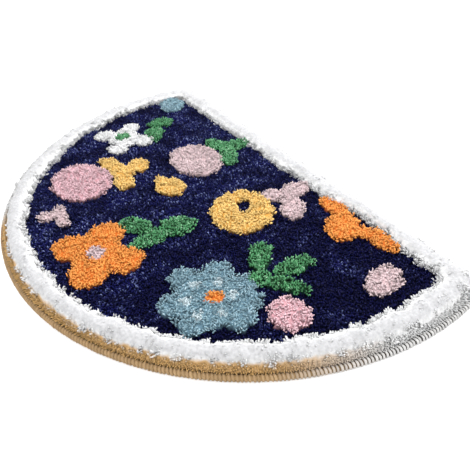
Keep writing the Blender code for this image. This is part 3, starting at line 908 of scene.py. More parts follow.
@dataclass
class Clumps:
    """Cells into which the border's pile gathers, and which scallop its inner edge.

    Args:
        design: Where the border lies.
        size: Distance between the cells' middles.
        warp: How far the cells' edges wander.
        lift: Largest height of a clump over or under its neighbours.
        scallop: How far the border's edge keeps to whole clumps, 0 to 1.
        jitter: Largest move of a cell's middle, as a share of the size.
        lean_spread: How unlike the clumps lean.
        seed: Seed of the cells.
    """

    design: Design
    size: float = 0.0130
    warp: float = 0.0050
    lift: float = 0.0020
    scallop: float = 0.40
    jitter: float = 0.30
    lean_spread: float = 0.28
    seed: int = 11

    def __post_init__(self) -> None:
        """Place the cells and sort them into a tree."""
        self.middles = self.design.outline.grid(self.size, self.jitter, self.seed)
        count = len(self.middles)
        dice = np.random.default_rng(self.seed)
        self.lifts = dice.uniform(-self.lift, self.lift, count)
        self.leans = dice.normal(0.0, self.lean_spread, (count, 2))
        self.tones = dice.uniform(0.0, 1.0, count)
        self.tree = kdtree.KDTree(count)
        for index, (x, y) in enumerate(self.middles):
            self.tree.insert((x, y, 0.0), index)
        self.tree.balance()

    def cells(self, places: np.ndarray) -> np.ndarray:
        """Return the number of the cell in which each place lies."""
        asked = places[:, :2] + soft_shift(places, self.size, (2.0, 6.0)) * self.warp
        return np.array([self.tree.find((x, y, 0.0))[1] for x, y in asked])

    def inner_gap(self, places: np.ndarray) -> np.ndarray:
        """Return how far each place lies from the border's scalloped inner edge, above 0 in the border."""
        asked = places[:, :2] + (self.middles[self.cells(places)] - places[:, :2]) * self.scallop
        return self.design.border_inner(asked) - self.design.outline.rim_distance(asked)

    def in_border(self, places: np.ndarray, inset: float = 0.0) -> np.ndarray:
        """Return whether each place belongs to the border, which is taken narrower by an inset."""
        return self.inner_gap(places) > inset


@dataclass(frozen=True)
class Nap:
    """How the tufts of a short pile stand and differ.

    Args:
        cut: How the tufts are cut.
        spacing: Distance between tufts.
        jitter: Largest move of a tuft, as a share of the spacing.
        swirl: How the nap's heading turns over the rug, in radians.
        stray: How far single tufts stray from the heading, in radians.
        heading: The nap's own heading, in radians.
        tilt: Tilt from upright, in radians.
        tilt_spread: How unlike the tilts are.
        tilt_limits: Smallest and largest tilt.
        unevenness: How unlike the tips' heights are.
        swell: How the surface rises and falls over the rug.
        patch: How the brightness changes over the rug.
        tone_spread: How unlike single tufts' brightness is.
        sizes: Smallest and largest scale of a tuft.
        sunk: Share of a tuft's length between its root and its tip's height.
    """

    cut: TuftCut
    spacing: float
    swirl: Wave
    stray: float
    heading: float
    tilt: float
    tilt_spread: float
    tilt_limits: tuple[float, float]
    unevenness: float
    swell: Wave
    patch: Wave
    tone_spread: float
    jitter: float = 0.24
    sizes: tuple[float, float] = (0.88, 1.12)
    sunk: float = 0.9

    def stand(self, places: np.ndarray, heights: np.ndarray | float, seed: int,
              calm: np.ndarray | float = 0.0, push: np.ndarray | None = None,
              shade: np.ndarray | float = 0.0) -> Anchors:
        """Stand a tuft on each place.

        Args:
            places: The tufts' places.
            heights: The heights that their tips reach.
            seed: Seed of their differences.
            calm: Share of its tilt that each tuft loses.
            push: How far each tuft is pushed over in x and y, or none.
            shade: How much duller each tuft is.

        Returns:
            The tufts' anchors, whose surfaces face as the tufts lean.
        """
        dice = np.random.default_rng(seed)
        count = len(places)
        headings = self.swirl.read(places) + dice.normal(0.0, self.stray, count) + self.heading
        tilts = np.clip(dice.normal(self.tilt, self.tilt_spread, count), *self.tilt_limits) * (1.0 - calm)
        across = np.sin(tilts)
        leans = np.stack([across * np.cos(headings), across * np.sin(headings), np.cos(tilts)], axis=1)
        if push is not None:
            leans[:, :2] += push
            leans = unit(leans)
        sizes = dice.uniform(*self.sizes, count)
        tips = heights + dice.normal(0.0, self.unevenness, count) + self.swell.read(places)
        roots = tips - self.cut.length * self.sunk * sizes * leans[:, 2]
        tones = 0.5 + self.patch.read(places) + dice.normal(0.0, self.tone_spread, count) - shade
        spins = dice.uniform(0, FULL_TURN, count)
        return Anchors(np.column_stack([places, roots]), leans, sizes, np.clip(tones, 0.0, 1.0), spins, leans)


# The field's patch wave makes lighter and darker patches of the nap: painted sheen.
FIELD_NAP = Nap(
    FIELD_CUT, spacing=0.0046, swirl=Wave(5.0, 0.045, 1.0), stray=0.7, heading=math.radians(200),
    tilt=math.radians(38), tilt_spread=math.radians(16), tilt_limits=(0.05, 1.2), unevenness=0.0007,
    swell=Wave(0.0012, 0.02, 3.0), patch=Wave(1.15, 0.035, 5.0), tone_spread=0.14)
MOTIF_NAP = Nap(
    MOTIF_CUT, spacing=0.0051, swirl=Wave(6.0, 0.025, 7.0), stray=0.6, heading=0.0,
    tilt=math.radians(36), tilt_spread=math.radians(14), tilt_limits=(0.02, 1.0), unevenness=0.0006,
    swell=Wave(0.0014, 0.012, 8.0), patch=Wave(0.5, 0.014, 2.5), tone_spread=0.25)


@dataclass
class FieldPile:
    """The dark pile that fills the rug between its motifs.

    Args:
        design: The rug's design.
        clumps: The border's clumps.
        heights: The heights of the piles.
        shaded_right: How much duller the field is at the right.
        shade_start: Place along X where that starts.
        shade_run: Distance over which it grows.
        seed: Seed of the tufts' places and turns.
    """

    design: Design
    clumps: Clumps
    heights: PileHeights
    shaded_right: float = 0.55
    shade_start: float = 0.02
    shade_run: float = 0.25
    seed: int = 21

    def build(self, planter: Planter, finish: bpy.types.Material) -> list[bpy.types.Object]:
        """Build the pile in two pieces, left and right of the middle.

        Args:
            planter: The planter of tufts.
            finish: The yarn's material.

        Returns:
            The two pieces.
        """
        outline = self.design.outline
        places = outline.grid(FIELD_NAP.spacing, FIELD_NAP.jitter, self.seed)
        places = places[outline.rim_distance(places) > self.heights.shoulder_inset]
        kinds, _ = self.design.read(places)
        places = places[(kinds == Pile.FIELD.value) & ~self.clumps.in_border(places)]
        shade = self.shaded_right * np.clip((places[:, 0] - self.shade_start) / self.shade_run, 0.0, 1.0)
        anchors = FIELD_NAP.stand(places, self.heights.field, self.seed, shade=shade)
        left = places[:, 0] < 0
        parts = [("field_pile_left", anchors.chosen(left), finish, self.seed),
                 ("field_pile_right", anchors.chosen(~left), finish, self.seed + 1)]
        return planter.plant_all(TuftMaker(FIELD_CUT, "field_tufts", self.seed), parts)


@dataclass
class MotifPile:
    """The raised pile of the flowers, leaves and berries.

    Args:
        design: The rug's design.
        clumps: The border's clumps.
        heights: The heights of the piles.
        flop: How far the tufts at a motif's edge lean outwards, in radians.
        flop_run: How far in from the edge tufts lean outwards.
        edge_calm: Share of its own tilt that a tuft at the edge loses.
        edge_slope: How steeply the surface falls at a motif's edge.
        slope_step: Distance over which the way out of a motif is measured.
        seed: Seed of the tufts' places and turns.
    """

    design: Design
    clumps: Clumps
    heights: PileHeights
    flop: float = math.radians(12)
    flop_run: float = 0.0060
    edge_calm: float = 0.5
    edge_slope: float = 0.9
    slope_step: float = 0.0015
    seed: int = 31

    def edge_headings(self, places: np.ndarray) -> np.ndarray:
        """Return the direction out of the motif at each place, one a row."""
        depth = self.design.motif_depth(places)
        slopes = [self.design.motif_depth(places + np.array(step)) - depth
                  for step in ((self.slope_step, 0.0), (0.0, self.slope_step))]
        return -unit(np.stack(slopes, axis=1))

    def build(self, planter: Planter, finishes: dict[Yarn, bpy.types.Material]) -> list[bpy.types.Object]:
        """Build the pile, one piece a yarn.

        Args:
            planter: The planter of tufts.
            finishes: The yarns' materials.

        Returns:
            The pieces.
        """
        places = self.design.outline.grid(MOTIF_NAP.spacing, MOTIF_NAP.jitter, self.seed)
        kinds, yarns = self.design.read(places)
        keep = (kinds == Pile.MOTIF.value) & ~self.clumps.in_border(places)
        places, yarns, kinds = places[keep], yarns[keep], kinds[keep]
        near_edge = np.clip(1.0 - self.design.motif_depth(places) / self.flop_run, 0.0, 1.0)
        out = self.edge_headings(places)
        push = out * (math.tan(self.flop) * near_edge)[:, None]
        anchors = MOTIF_NAP.stand(places, self.heights.read(self.design, places, kinds), self.seed,
                                  calm=self.edge_calm * near_edge, push=push)
        anchors.surfaces = facing_up(out * (near_edge * self.edge_slope)[:, None])
        parts = [(f"motif_pile_{yarn.value}", anchors.chosen(yarns == number), finishes[yarn],
                  self.seed + number)
                 for number, yarn in enumerate(YARNS) if (yarns == number).any()]
        return planter.plant_all(TuftMaker(MOTIF_CUT, "motif_tufts", self.seed), parts)


@dataclass(frozen=True)
class StrandRows:
    """Rows of fine strands that stand along an edge.

    Args:
        rows: Distance inwards or behind the edge, height, tilt outwards in degrees and size of each row.
        spacing: Distance between the strands of a row.
        shake: Largest move of a strand.
        sway: How far strands lean along the edge.
        wave: How that changes along the edge.
        stray: How far single strands differ from it.
        tilt_spread: How unlike the tilts are, in radians.
        sizes: Smallest and largest scale of a strand.
        unevenness: How unlike the roots' heights are.
        tone_spread: How unlike the strands' brightness is.
        slope: How far outwards from upright the shaded surface faces.
    """

    rows: tuple[tuple[float, float, float, float], ...]
    spacing: float
    shake: float
    sway: float
    wave: Wave
    stray: float
    tilt_spread: float
    sizes: tuple[float, float]
    unevenness: float
    tone_spread: float
    slope: float

    def stand(self, number: int, places: np.ndarray, outs: np.ndarray, dice: np.random.Generator) -> Anchors:
        """Stand the strands of one row.

        Args:
            number: Which row it is.
            places: The strands' places.
            outs: The outward directions there.
            dice: Source of their differences.

        Returns:
            The strands' anchors.
        """
        _, height, tilt, size = self.rows[number]
        count = len(places)
        sway = self.sway * (self.wave.read(places) + dice.normal(0.0, self.stray, count))
        tilts = np.radians(tilt) + dice.normal(0.0, self.tilt_spread, count)
        sideways = outs * np.sin(tilts)[:, None] + crosswise(outs) * sway[:, None]
        leans = unit(np.column_stack([sideways, np.cos(tilts)]))
        sizes = size * dice.uniform(*self.sizes, count)
        roots = np.column_stack([places, height + dice.normal(0.0, self.unevenness, count)])
        tones = np.full(count, 0.5)
        if self.tone_spread:
            tones = np.clip(dice.normal(0.5, self.tone_spread, count), 0.0, 1.0)
        spins = dice.uniform(0, FULL_TURN, count)
        return Anchors(roots, leans, sizes, tones, spins, facing_up(outs * self.slope))


SKIRT = StrandRows(
    ((0.0128, 0.0138, 54, 1.00), (0.0112, 0.0120, 64, 0.95), (0.0094, 0.0101, 76, 0.85)), spacing=0.0034,
    shake=0.0012, sway=0.12, wave=Wave(1.6, 0.016, 3.0), stray=0.3, tilt_spread=0.04, sizes=(0.85, 1.10),
    unevenness=0.0004, tone_spread=0.2, slope=0.6)
FRINGE = StrandRows(
    ((0.0034, 0.0180, -30, 1.00), (0.0022, 0.0168, -42, 0.90), (0.0010, 0.0150, -50, 0.75)), spacing=0.0040,
    shake=0.0010, sway=1.0, wave=Wave(0.5, 0.010, 3.0), stray=0.22, tilt_spread=0.16, sizes=(0.75, 1.15),
    unevenness=0.0006, tone_spread=0.0, slope=-0.1)


@dataclass
class BorderPile:
    """The deep, soft pile of the border, which gathers in clumps and hangs over the rim.

    Args:
        design: The rug's design.
        clumps: The border's clumps.
        heights: The heights of the piles.
        spacing: Distance between tufts.
        jitter: Largest move of a tuft, as a share of the spacing.
        shoulder_gap: Distance of the outermost tufts inside the shoulder.
        gather: How far tips are pulled towards the middle of their clump, as a share.
        combing: How strongly the tufts of a clump lean the same way.
        rim_spill: How far tufts lean outwards at the rim.
        inner_spill: How far they lean inwards at the inner edge.
        spill_run: Share of the border's width over which either lean fades.
        inner_spill_start: Share of the width at which the lean inwards starts.
        stray: How far single tufts lean their own way.
        sizes: Smallest and largest scale of a tuft.
        roundness: How far a clump's rim lies under its middle.
        unevenness: How unlike the tips' heights are.
        sunk: Share of a tuft's length between its root and its tip's height.
        dullest: Least brightness of a clump.
        clump_tone: How much brighter the brightest clump is.
        tone_spread: How unlike single tufts' brightness is.
        lump_slope: How steeply the surface falls at a clump's rim.
        slope_share: Share of the border's own slope that its shading follows.
        slope_step: Distance over which that slope is measured.
        fringe_corner: Radius of the corners of the line on which the fringe starts.
        fringe_passes: How many times the fringe is moved closer to the scalloped edge.
        edge_run: Distance from the border's edges over which the paler tufts of its edges thin out; their
            paleness is painted light where the edges lie in shade.
        seed: Seed of the tufts' places and turns.
    """

    design: Design
    clumps: Clumps
    heights: PileHeights
    spacing: float = 0.0054
    jitter: float = 0.26
    shoulder_gap: float = 0.0024
    gather: float = 0.40
    combing: float = 1.3
    rim_spill: float = 0.30
    inner_spill: float = 0.55
    spill_run: float = 0.30
    inner_spill_start: float = 0.70
    stray: float = 0.12
    sizes: tuple[float, float] = (0.88, 1.14)
    roundness: float = 0.0020
    unevenness: float = 0.0004
    sunk: float = 0.92
    dullest: float = 0.35
    clump_tone: float = 0.4
    tone_spread: float = 0.16
    lump_slope: float = 0.22
    slope_share: float = 0.40
    slope_step: float = 0.002
    fringe_corner: float = 0.030
    fringe_passes: int = 4
    edge_run: float = 0.0080
    seed: int = 41

    def top_anchors(self) -> Anchors:
        """Return the tufts of the border's upper side."""
        outline, dice = self.design.outline, np.random.default_rng(self.seed)
        places = outline.grid(self.spacing, self.jitter, self.seed)
        places = places[outline.rim_distance(places) > self.heights.shoulder_inset + self.shoulder_gap]
        places = places[self.clumps.in_border(places)]
        cells = self.clumps.cells(places)
        count = len(places)
        to_middle = self.clumps.middles[cells] - places
        share = self.heights.border_share(self.design, places)
        spill = (self.rim_spill * np.clip(1.0 - share / self.spill_run, 0, 1)
                 - self.inner_spill * np.clip((share - self.inner_spill_start) / self.spill_run, 0, 1))
        sideways = (to_middle * self.gather / BORDER_CUT.length + self.clumps.leans[cells] * self.combing
                    + outline.outward(places) * spill[:, None] + dice.normal(0.0, self.stray, (count, 2)))
        leans = facing_up(sideways)
        sizes = dice.uniform(*self.sizes, count)
        rounding = self.roundness * (np.hypot(*to_middle.T) / (self.clumps.size / 2)) ** 2
        tips = self.heights.border(self.design, places) + self.clumps.lifts[cells] - rounding
        tips = tips + dice.normal(0.0, self.unevenness, count)
        roots = tips - BORDER_CUT.length * self.sunk * sizes * leans[:, 2]
        tones = (self.dullest + self.clump_tone * self.clumps.tones[cells]
                 + dice.normal(0.0, self.tone_spread, count))
        spins = dice.uniform(0, FULL_TURN, count)
        return Anchors(np.column_stack([places, roots]), leans, sizes, np.clip(tones, 0.0, 1.0), spins,
                       self.surfaces(places, cells))

    def surfaces(self, places: np.ndarray, cells: np.ndarray) -> np.ndarray:
        """Return the directions in which the lumpy surface of the border faces."""
        step = self.slope_step
        here = self.heights.border(self.design, places)
        slopes = [(self.heights.border(self.design, places + np.array(move)) - here) / step
                  for move in ((step, 0.0), (0.0, step))]
        apart = (places - self.clumps.middles[cells]) / (self.clumps.size / 2)
        return facing_up(self.lump_slope * apart - self.slope_share * np.stack(slopes, axis=1))

    def at_edges(self, places: np.ndarray) -> np.ndarray:
        """Return which tufts belong to the border's edges: all that stand there, and fewer further in."""
        from_rim = self.design.outline.rim_distance(places)
        from_inner = self.design.border_inner(places) - from_rim
        from_edge = np.minimum(from_rim - self.heights.shoulder_inset, from_inner)
        chance = 1.0 - np.clip(from_edge / self.edge_run, 0.0, 1.0)
        return np.random.default_rng(self.seed + 4).uniform(0.0, 1.0, len(places)) < chance

    def skirt_anchors(self, number: int) -> Anchors:
        """Return the strands of one row of the skirt at the rim."""
        dice = np.random.default_rng(self.seed + 1 + number)
        places, outs = self.design.outline.ring(SKIRT.rows[number][0], SKIRT.spacing)
        moves = dice.uniform(-SKIRT.shake, SKIRT.shake, len(places))
        return SKIRT.stand(number, places + crosswise(outs) * moves[:, None], outs, dice)

    def fringe_anchors(self, number: int) -> Anchors:
        """Return the strands of one row that leans in over the field."""
        dice = np.random.default_rng(self.seed + 11 + number)
        places, outs = self.design.outline.ring(self.design.border_width, FRINGE.spacing, self.fringe_corner)
        for _ in range(self.fringe_passes):
            places = places - outs * self.clumps.inner_gap(places)[:, None]
        behind = places + outs * FRINGE.rows[number][0]
        places = behind + dice.uniform(-FRINGE.shake, FRINGE.shake, places.shape)
        return FRINGE.stand(number, places, outs, dice)

    def build(self, planter: Planter, finish: bpy.types.Material, edge_finish: bpy.types.Material,
              skirt_finish: bpy.types.Material, fringe_finish: bpy.types.Material) -> list[bpy.types.Object]:
        """Build the pile in two pieces, left and right of the middle, its edges, its skirt and its fringe.

        Args:
            planter: The planter of tufts.
            finish: The yarn's material.
            edge_finish: The material of the tufts at the border's edges, paler as painted light where they
                lie in shade.
            skirt_finish: The material of the combed skirt at the rim, paler as painted light where it lies in
                shade, with painted warm bounce light.
            fringe_finish: The material of the fine strands at the inner edge, paler as painted light where
                they lie in shade.

        Returns:
            The five pieces.
        """
        anchors = self.top_anchors()
        left, edges = anchors.places[:, 0] < 0, self.at_edges(anchors.places)
        top = [("border_pile_left", anchors.chosen(left & ~edges), finish, self.seed),
               ("border_pile_right", anchors.chosen(~left & ~edges), finish, self.seed + 1),
               ("border_pile_edges", anchors.chosen(edges), edge_finish, self.seed + 4)]
        pieces = planter.plant_all(TuftMaker(BORDER_CUT, "border_tufts", self.seed), top)
        rows = Anchors.joined([self.skirt_anchors(number) for number in range(len(SKIRT.rows))])
        pieces += planter.plant_all(TuftMaker(SKIRT_CUT, "skirt_tufts", self.seed + 2),
                                    [("border_skirt", rows, skirt_finish, self.seed + 2)])
        rows = Anchors.joined([self.fringe_anchors(number) for number in range(len(FRINGE.rows))])
        return pieces + planter.plant_all(TuftMaker(FRINGE_CUT, "fringe_tufts", self.seed + 3),
                                          [("border_fringe", rows, fringe_finish, self.seed + 3)])


@dataclass
class PileBed:
    """The dense foot of the pile, seen only between the tufts: one closed relief.

    Args:
        design: The rug's design.
        clumps: The border's clumps.
        heights: The heights of the piles.
        spacing: Distance between its points.
        jitter: Largest move of a point, as a share of the spacing.
        wall_inset: Distance of its side wall inside the rug's edge.
        motif_inset: How much smaller than the tufts' its motifs are.
        border_inset: How much narrower than the tufts' its border is.
        sink: How far its surface lies under that of field, motif and border; under 0 it is above.
        wall_levels: Heights of the side wall's points, its foot first.
        rim_height: Height of its surface at the side wall.
        rim_run: Distance over which the surface rises from there.
        clump_reach: Half sizes from a clump's middle at which its lift has faded.
        edge_colour: Linear colour of the border's bed at its two edges, and of the white motifs' bed.
        edge_colour_run: Distance from an edge over which that colour fades.
        seed: Seed of the points' places.
    """

    design: Design
    clumps: Clumps
    heights: PileHeights
    spacing: float = 0.0040
    jitter: float = 0.12
    wall_inset: float = 0.0086
    motif_inset: float = 0.0020
    border_inset: float = 0.0006
    sink: tuple[float, float, float] = (0.0027, 0.0016, -0.0006)
    wall_levels: tuple[float, ...] = (0.0032, 0.0070)
    rim_height: float = 0.0100
    rim_run: float = 0.0055
    clump_reach: float = 1.4
    # The border bed's two edges are lighter than its middle: painted light where its walls and edges lie in
    # shade. The white motifs' bed has this colour as its own.
    edge_colour: Colour = (0.85, 0.85, 0.85)
    edge_colour_run: float = 0.0080
    seed: int = 51

    def surface_heights(self, places: np.ndarray, kinds: np.ndarray) -> np.ndarray:
        """Return the relief's height at each place."""
        sink = np.array(self.sink)[kinds]
        rim = np.clip((self.design.outline.rim_distance(places) - self.wall_inset) / self.rim_run, 0.0, 1.0)
        cells = self.clumps.cells(places)
        apart = np.hypot(*(self.clumps.middles[cells] - places).T) / (self.clumps.size / 2)
        clump = self.clumps.lifts[cells] * np.clip(self.clump_reach - apart, 0.0, 1.0)
        top = self.heights.read(self.design, places, kinds) - sink
        raised = self.rim_height + (top + clump - self.rim_height) * rim
        return np.where(kinds == Pile.BORDER.value, raised, top)

    def edge_shares(self, places: np.ndarray, border: np.ndarray, yarns: np.ndarray) -> np.ndarray:
        """Return how far each point has its yarn's colour, 0 for the edge's colour."""
        from_rim = self.design.outline.rim_distance(places)
        from_edge = np.minimum(from_rim - self.wall_inset, self.design.border_inner(places) - from_rim)
        return np.where(border, np.clip(from_edge / self.edge_colour_run, 0.0, 1.0),
                        yarns != YARNS.index(Yarn.WHITE))

    def build(self, finish: bpy.types.Material, yarn_colours: dict[Yarn, Colour]) -> bpy.types.Object:
        """Build the relief and give each point the colour of its yarn.

        Args:
            finish: The bed's material, which reads the points' colours.
            yarn_colours: Linear colours of the yarns.

        Returns:
            The piece.
        """
        ring, _ = self.design.outline.ring(self.wall_inset, self.spacing)
        places, faces = self.design.outline.fill(ring, self.wall_inset, self.spacing, self.jitter, self.seed)
        kinds, yarns = self.design.read(places, self.motif_inset)
        border = self.clumps.in_border(places, self.border_inset)
        kinds = np.where(kinds == Pile.BORDER.value, Pile.FIELD.value, kinds)
        kinds = np.where(border, Pile.BORDER.value, kinds)
        bare = (yarns == YARNS.index(Yarn.WHITE)) & (kinds == Pile.FIELD.value)
        yarns = np.where(border, YARNS.index(Yarn.WHITE), np.where(bare, YARNS.index(Yarn.NAVY), yarns))
        tops = self.surface_heights(places, kinds)
        mesh = bmesh.new()
        tint = mesh.verts.layers.float_color.new("yarn_colour")

        def add(place: np.ndarray, height: float, yarn: Yarn, share: float = 0.0) -> bmesh.types.BMVert:
            """Add a point, of the edge's colour at share 0 and of its yarn's at share 1."""
            vert = mesh.verts.new((place[0], place[1], height))
            colour = np.array(self.edge_colour) * (1.0 - share) + np.array(yarn_colours[yarn]) * share
            vert[tint] = (*colour, 1.0)
            return vert

        shares = self.edge_shares(places, border, yarns)
        top = [add(place, height, YARNS[yarn], share)
               for place, height, yarn, share in zip(places, tops, yarns, shares)]
        for face in faces:
            mesh.faces.new([top[index] for index in face])
        rings = [[add(place, level, Yarn.WHITE) for place in ring] for level in self.wall_levels]
        for lower, upper in zip(rings, rings[1:] + [top[:len(ring)]]):
            bridge(mesh, lower, upper)
        mesh.faces.new(list(reversed(rings[0])))
        bmesh.ops.recalc_face_normals(mesh, faces=mesh.faces)
        return finished_piece(mesh, "pile_bed", finish)


def finished_piece(mesh: bmesh.types.BMesh, name: str, finish: bpy.types.Material, smooth: bool = True
                   ) -> bpy.types.Object:
    """Turn a mesh into a shaded object with its material.

    Args:
        mesh: The mesh, which is freed.
        name: Name of the piece.
        finish: Its material.
        smooth: Whether it is shaded smooth.

    Returns:
        The object, linked to the scene.
    """
    data = bpy.data.meshes.new(name)
    mesh.to_mesh(data)
    mesh.free()
    if smooth:
        data.shade_smooth()
    data.materials.append(finish)
    piece = bpy.data.objects.new(name, data)
    bpy.context.scene.collection.objects.link(piece)
    return piece


@dataclass
class BackingSheet:
    """The backing cloth: thick under the pile, and thinner at its edge where the binding wraps it.

    Args:
        outline: The rug's outline.
        edge_inset: Distance of the cloth's cut edge inside the rug's edge.
        step_inset: Distance inside the rug's edge at which its lower side rises off the floor.
        step_run: Distance over which it rises.
        top: Height of its upper side.
        edge_lift: Height of its lower side at the edge.
        spacing: Distance between the points of its two sides.
        edge_spacing: Distance between the points of its edge.
        seed: Seed of the points' places.
    """

    outline: HalfMoon
    edge_inset: float = 0.0020
    step_inset: float = 0.0084
    step_run: float = 0.0004
    top: float = 0.0030
    edge_lift: float = 0.0015
    spacing: float = 0.0200
    edge_spacing: float = 0.0100
    seed: int = 61

    def area(self) -> float:
        """Return the cloth's area in square metres."""
        ring, _ = self.outline.ring(self.edge_inset, 0.002)
        x, y = ring.T
        return abs(float(np.sum(x * np.roll(y, -1) - y * np.roll(x, -1)))) / 2

    def add_side(self, mesh: bmesh.types.BMesh, ring: list[bmesh.types.BMVert], height: float,
                 inset: float) -> None:
        """Fill a ring of points with a flat net of triangles.

        Args:
            mesh: The cloth's mesh.
            ring: The points.
            height: Their height.
            inset: Their distance inside the rug's edge.
        """
        places = np.array([vert.co[:2] for vert in ring])
        flat, faces = self.outline.fill(places, inset, self.spacing, 0.0, self.seed)
        verts = ring + [mesh.verts.new((x, y, height)) for x, y in flat[len(ring):]]
        for face in faces:
            mesh.faces.new([verts[index] for index in face])

    def build(self, finish: bpy.types.Material) -> bpy.types.Object:
        """Build the cloth.

        Args:
            finish: Its material.

        Returns:
            The piece.
        """
        mesh = bmesh.new()
        profile = ((self.edge_inset, self.top), (self.edge_inset, self.edge_lift),
                   (self.step_inset - self.step_run, self.edge_lift), (self.step_inset, 0.0))
        base, outs = self.outline.ring(self.edge_inset, self.edge_spacing)
        rings = [[mesh.verts.new((x, y, height)) for x, y in base - outs * (inset - self.edge_inset)]
                 for inset, height in profile]
        for upper, lower in zip(rings, rings[1:]):
            bridge(mesh, upper, lower)
        self.add_side(mesh, rings[0], self.top, self.edge_inset)
        self.add_side(mesh, rings[-1], 0.0, self.step_inset)
        bmesh.ops.recalc_face_normals(mesh, faces=mesh.faces)
        return finished_piece(mesh, "backing_cloth", finish, smooth=False)


@dataclass
class Binding:
    """The whipped edge: a padded core round the cloth's edge, covered with slanting yarn stitches.

    Args:
        outline: The rug's outline.
        pitch: Distance between stitches.
        core_spacing: Distance between the core's sections.
        middle_inset: Distance of the section's middle inside the rug's edge.
        middle_height: Height of the section's middle.
        half_width: Half width of the core's section.
        half_height: Half height of the core's section.
        squareness: How square the section is, 2 for an oval.
        section_steps: Points of the core's section.
        stitch_half_width: Half width of a stitch, along the edge.
        stitch_half_depth: Half thickness of a stitch.
        slant: How far a stitch slants along the edge from top to bottom.
        stitch_turns: Directions from the section's middle in which a stitch starts and ends.
        stitch_rings: Rings of points of a stitch.
        stitch_sides: Sides of a stitch.
        lifted: How far a stitch lies off the core, as a share of its half thickness.
        end_width: Width of a stitch at its ends, as a share.
        end_growth: How fast it grows from there.
        variants: How many unlike stitches are made.
        shake: How far stitches stray along the edge.
        height_spread: How unlike their heights are.
        spin_spread: How unlike their turns are, in radians.
        seed: Seed of the stitches' differences.
    """

    outline: HalfMoon
    pitch: float = 0.0046
    core_spacing: float = 0.0080
    middle_inset: float = 0.0043
    middle_height: float = 0.0047
    half_width: float = 0.0030
    half_height: float = 0.0037
    squareness: float = 2.6
    section_steps: int = 12
    stitch_half_width: float = 0.0017
    stitch_half_depth: float = 0.0010
    slant: float = 0.0018
    stitch_turns: tuple[float, float] = (math.radians(168), math.radians(-118))
    stitch_rings: int = 8
    stitch_sides: int = 5
    lifted: float = 0.35
    end_width: float = 0.55
    end_growth: float = 2.2
    variants: int = 10
    shake: float = 0.00022
    height_spread: float = 0.00012
    spin_spread: float = 0.03
    seed: int = 71

    SLANTS = (0.6, 1.35)  # Smallest and largest of each as a share of the usual
    WIDTHS = (0.88, 1.10)
    DEPTHS = (0.85, 1.2)
    SIZES = (0.97, 1.03)
    TANGENT_TURN = 0.05  # Turn over which a stitch's direction is measured

    def section(self, angle: float, grow: float) -> tuple[float, float]:
        """Return a point of the section, outward and up from its middle."""
        cosine, sine = math.cos(angle), math.sin(angle)
        power = 2.0 / self.squareness
        outward = math.copysign(abs(cosine) ** power, cosine) * (self.half_width + grow)
        return outward, math.copysign(abs(sine) ** power, sine) * (self.half_height + grow)

    def build_core(self, finish: bpy.types.Material) -> bpy.types.Object:
        """Build the padded core as a closed ring.

        Args:
            finish: Its material.

        Returns:
            The piece.
        """
        mesh = bmesh.new()
        loops = []
        for place, out in zip(*self.outline.ring(self.middle_inset, self.core_spacing)):
            loop = []
            for step in range(self.section_steps):
                outward, up = self.section(FULL_TURN * step / self.section_steps, 0.0)
                loop.append(mesh.verts.new((*(place + out * outward), self.middle_height + up)))
            loops.append(loop)
        for loop, following in zip(loops, loops[1:] + loops[:1]):
            bridge(mesh, loop, following)
        bmesh.ops.recalc_face_normals(mesh, faces=mesh.faces)
        return finished_piece(mesh, "binding_core", finish)

    def add_ring(self, mesh: bmesh.types.BMesh, share: float, slant: float, width: float, depth: float
                 ) -> list[bmesh.types.BMVert]:
        """Add a ring of a stitch's points.

        Args:
            mesh: The stitch's mesh.
            share: How far along the stitch the ring lies, 0 to 1.
            slant: How far the stitch slants.
            width: Its half width.
            depth: Its half thickness.

        Returns:
            The ring's points.
        """
        along_layer = mesh.verts.layers.float["along"]
        start, end = self.stitch_turns
        angle = start + (end - start) * share
        outward, up = self.section(angle, depth * self.lifted)
        outward_next, up_next = self.section(angle - self.TANGENT_TURN, depth * self.lifted)
        tangent = Vector((outward_next - outward, 0.0, up_next - up)).normalized()
        aside = Vector((0.0, 1.0, 0.0))
        normal = tangent.cross(aside) * -1.0
        middle = Vector((outward, slant * (share - 0.5) * 2.0, up))
        ends = min(1.0, self.end_width + self.end_growth * min(share, 1.0 - share))
        ring = []
        for side in range(self.stitch_sides):
            turn = FULL_TURN * side / self.stitch_sides
            offset = aside * (math.cos(turn) * width * ends) + normal * (math.sin(turn) * depth * ends)
            ring.append(mesh.verts.new(middle + offset))
            # This share round the stitch drives the painted shade in its grooves.
            ring[-1][along_layer] = 0.5 + 0.5 * math.sin(turn)
        return ring

    def stitch(self, number: int, dice: random.Random) -> bpy.types.Object:
        """Make one stitch: out is +X, up is +Z and along the edge is +Y.

        Args:
            number: Its number.
            dice: Source of its differences.

        Returns:
            The stitch as an object.
        """
        mesh = new_strands()
        strand = dice.random()
        slant = self.slant * dice.uniform(*self.SLANTS)
        width = self.stitch_half_width * dice.uniform(*self.WIDTHS)
        depth = self.stitch_half_depth * dice.uniform(*self.DEPTHS)
        last = self.stitch_rings - 1
        rings = [self.add_ring(mesh, index / last, slant, width, depth) for index in range(self.stitch_rings)]
        for vert in mesh.verts:
            vert[mesh.verts.layers.float["strand"]] = strand
        for lower, upper in zip(rings, rings[1:]):
            bridge(mesh, lower, upper)
        mesh.faces.new(list(reversed(rings[0])))
        mesh.faces.new(rings[-1])
        bmesh.ops.recalc_face_normals(mesh, faces=mesh.faces)
        return smooth_shape(mesh, f"stitch_{number:02d}")

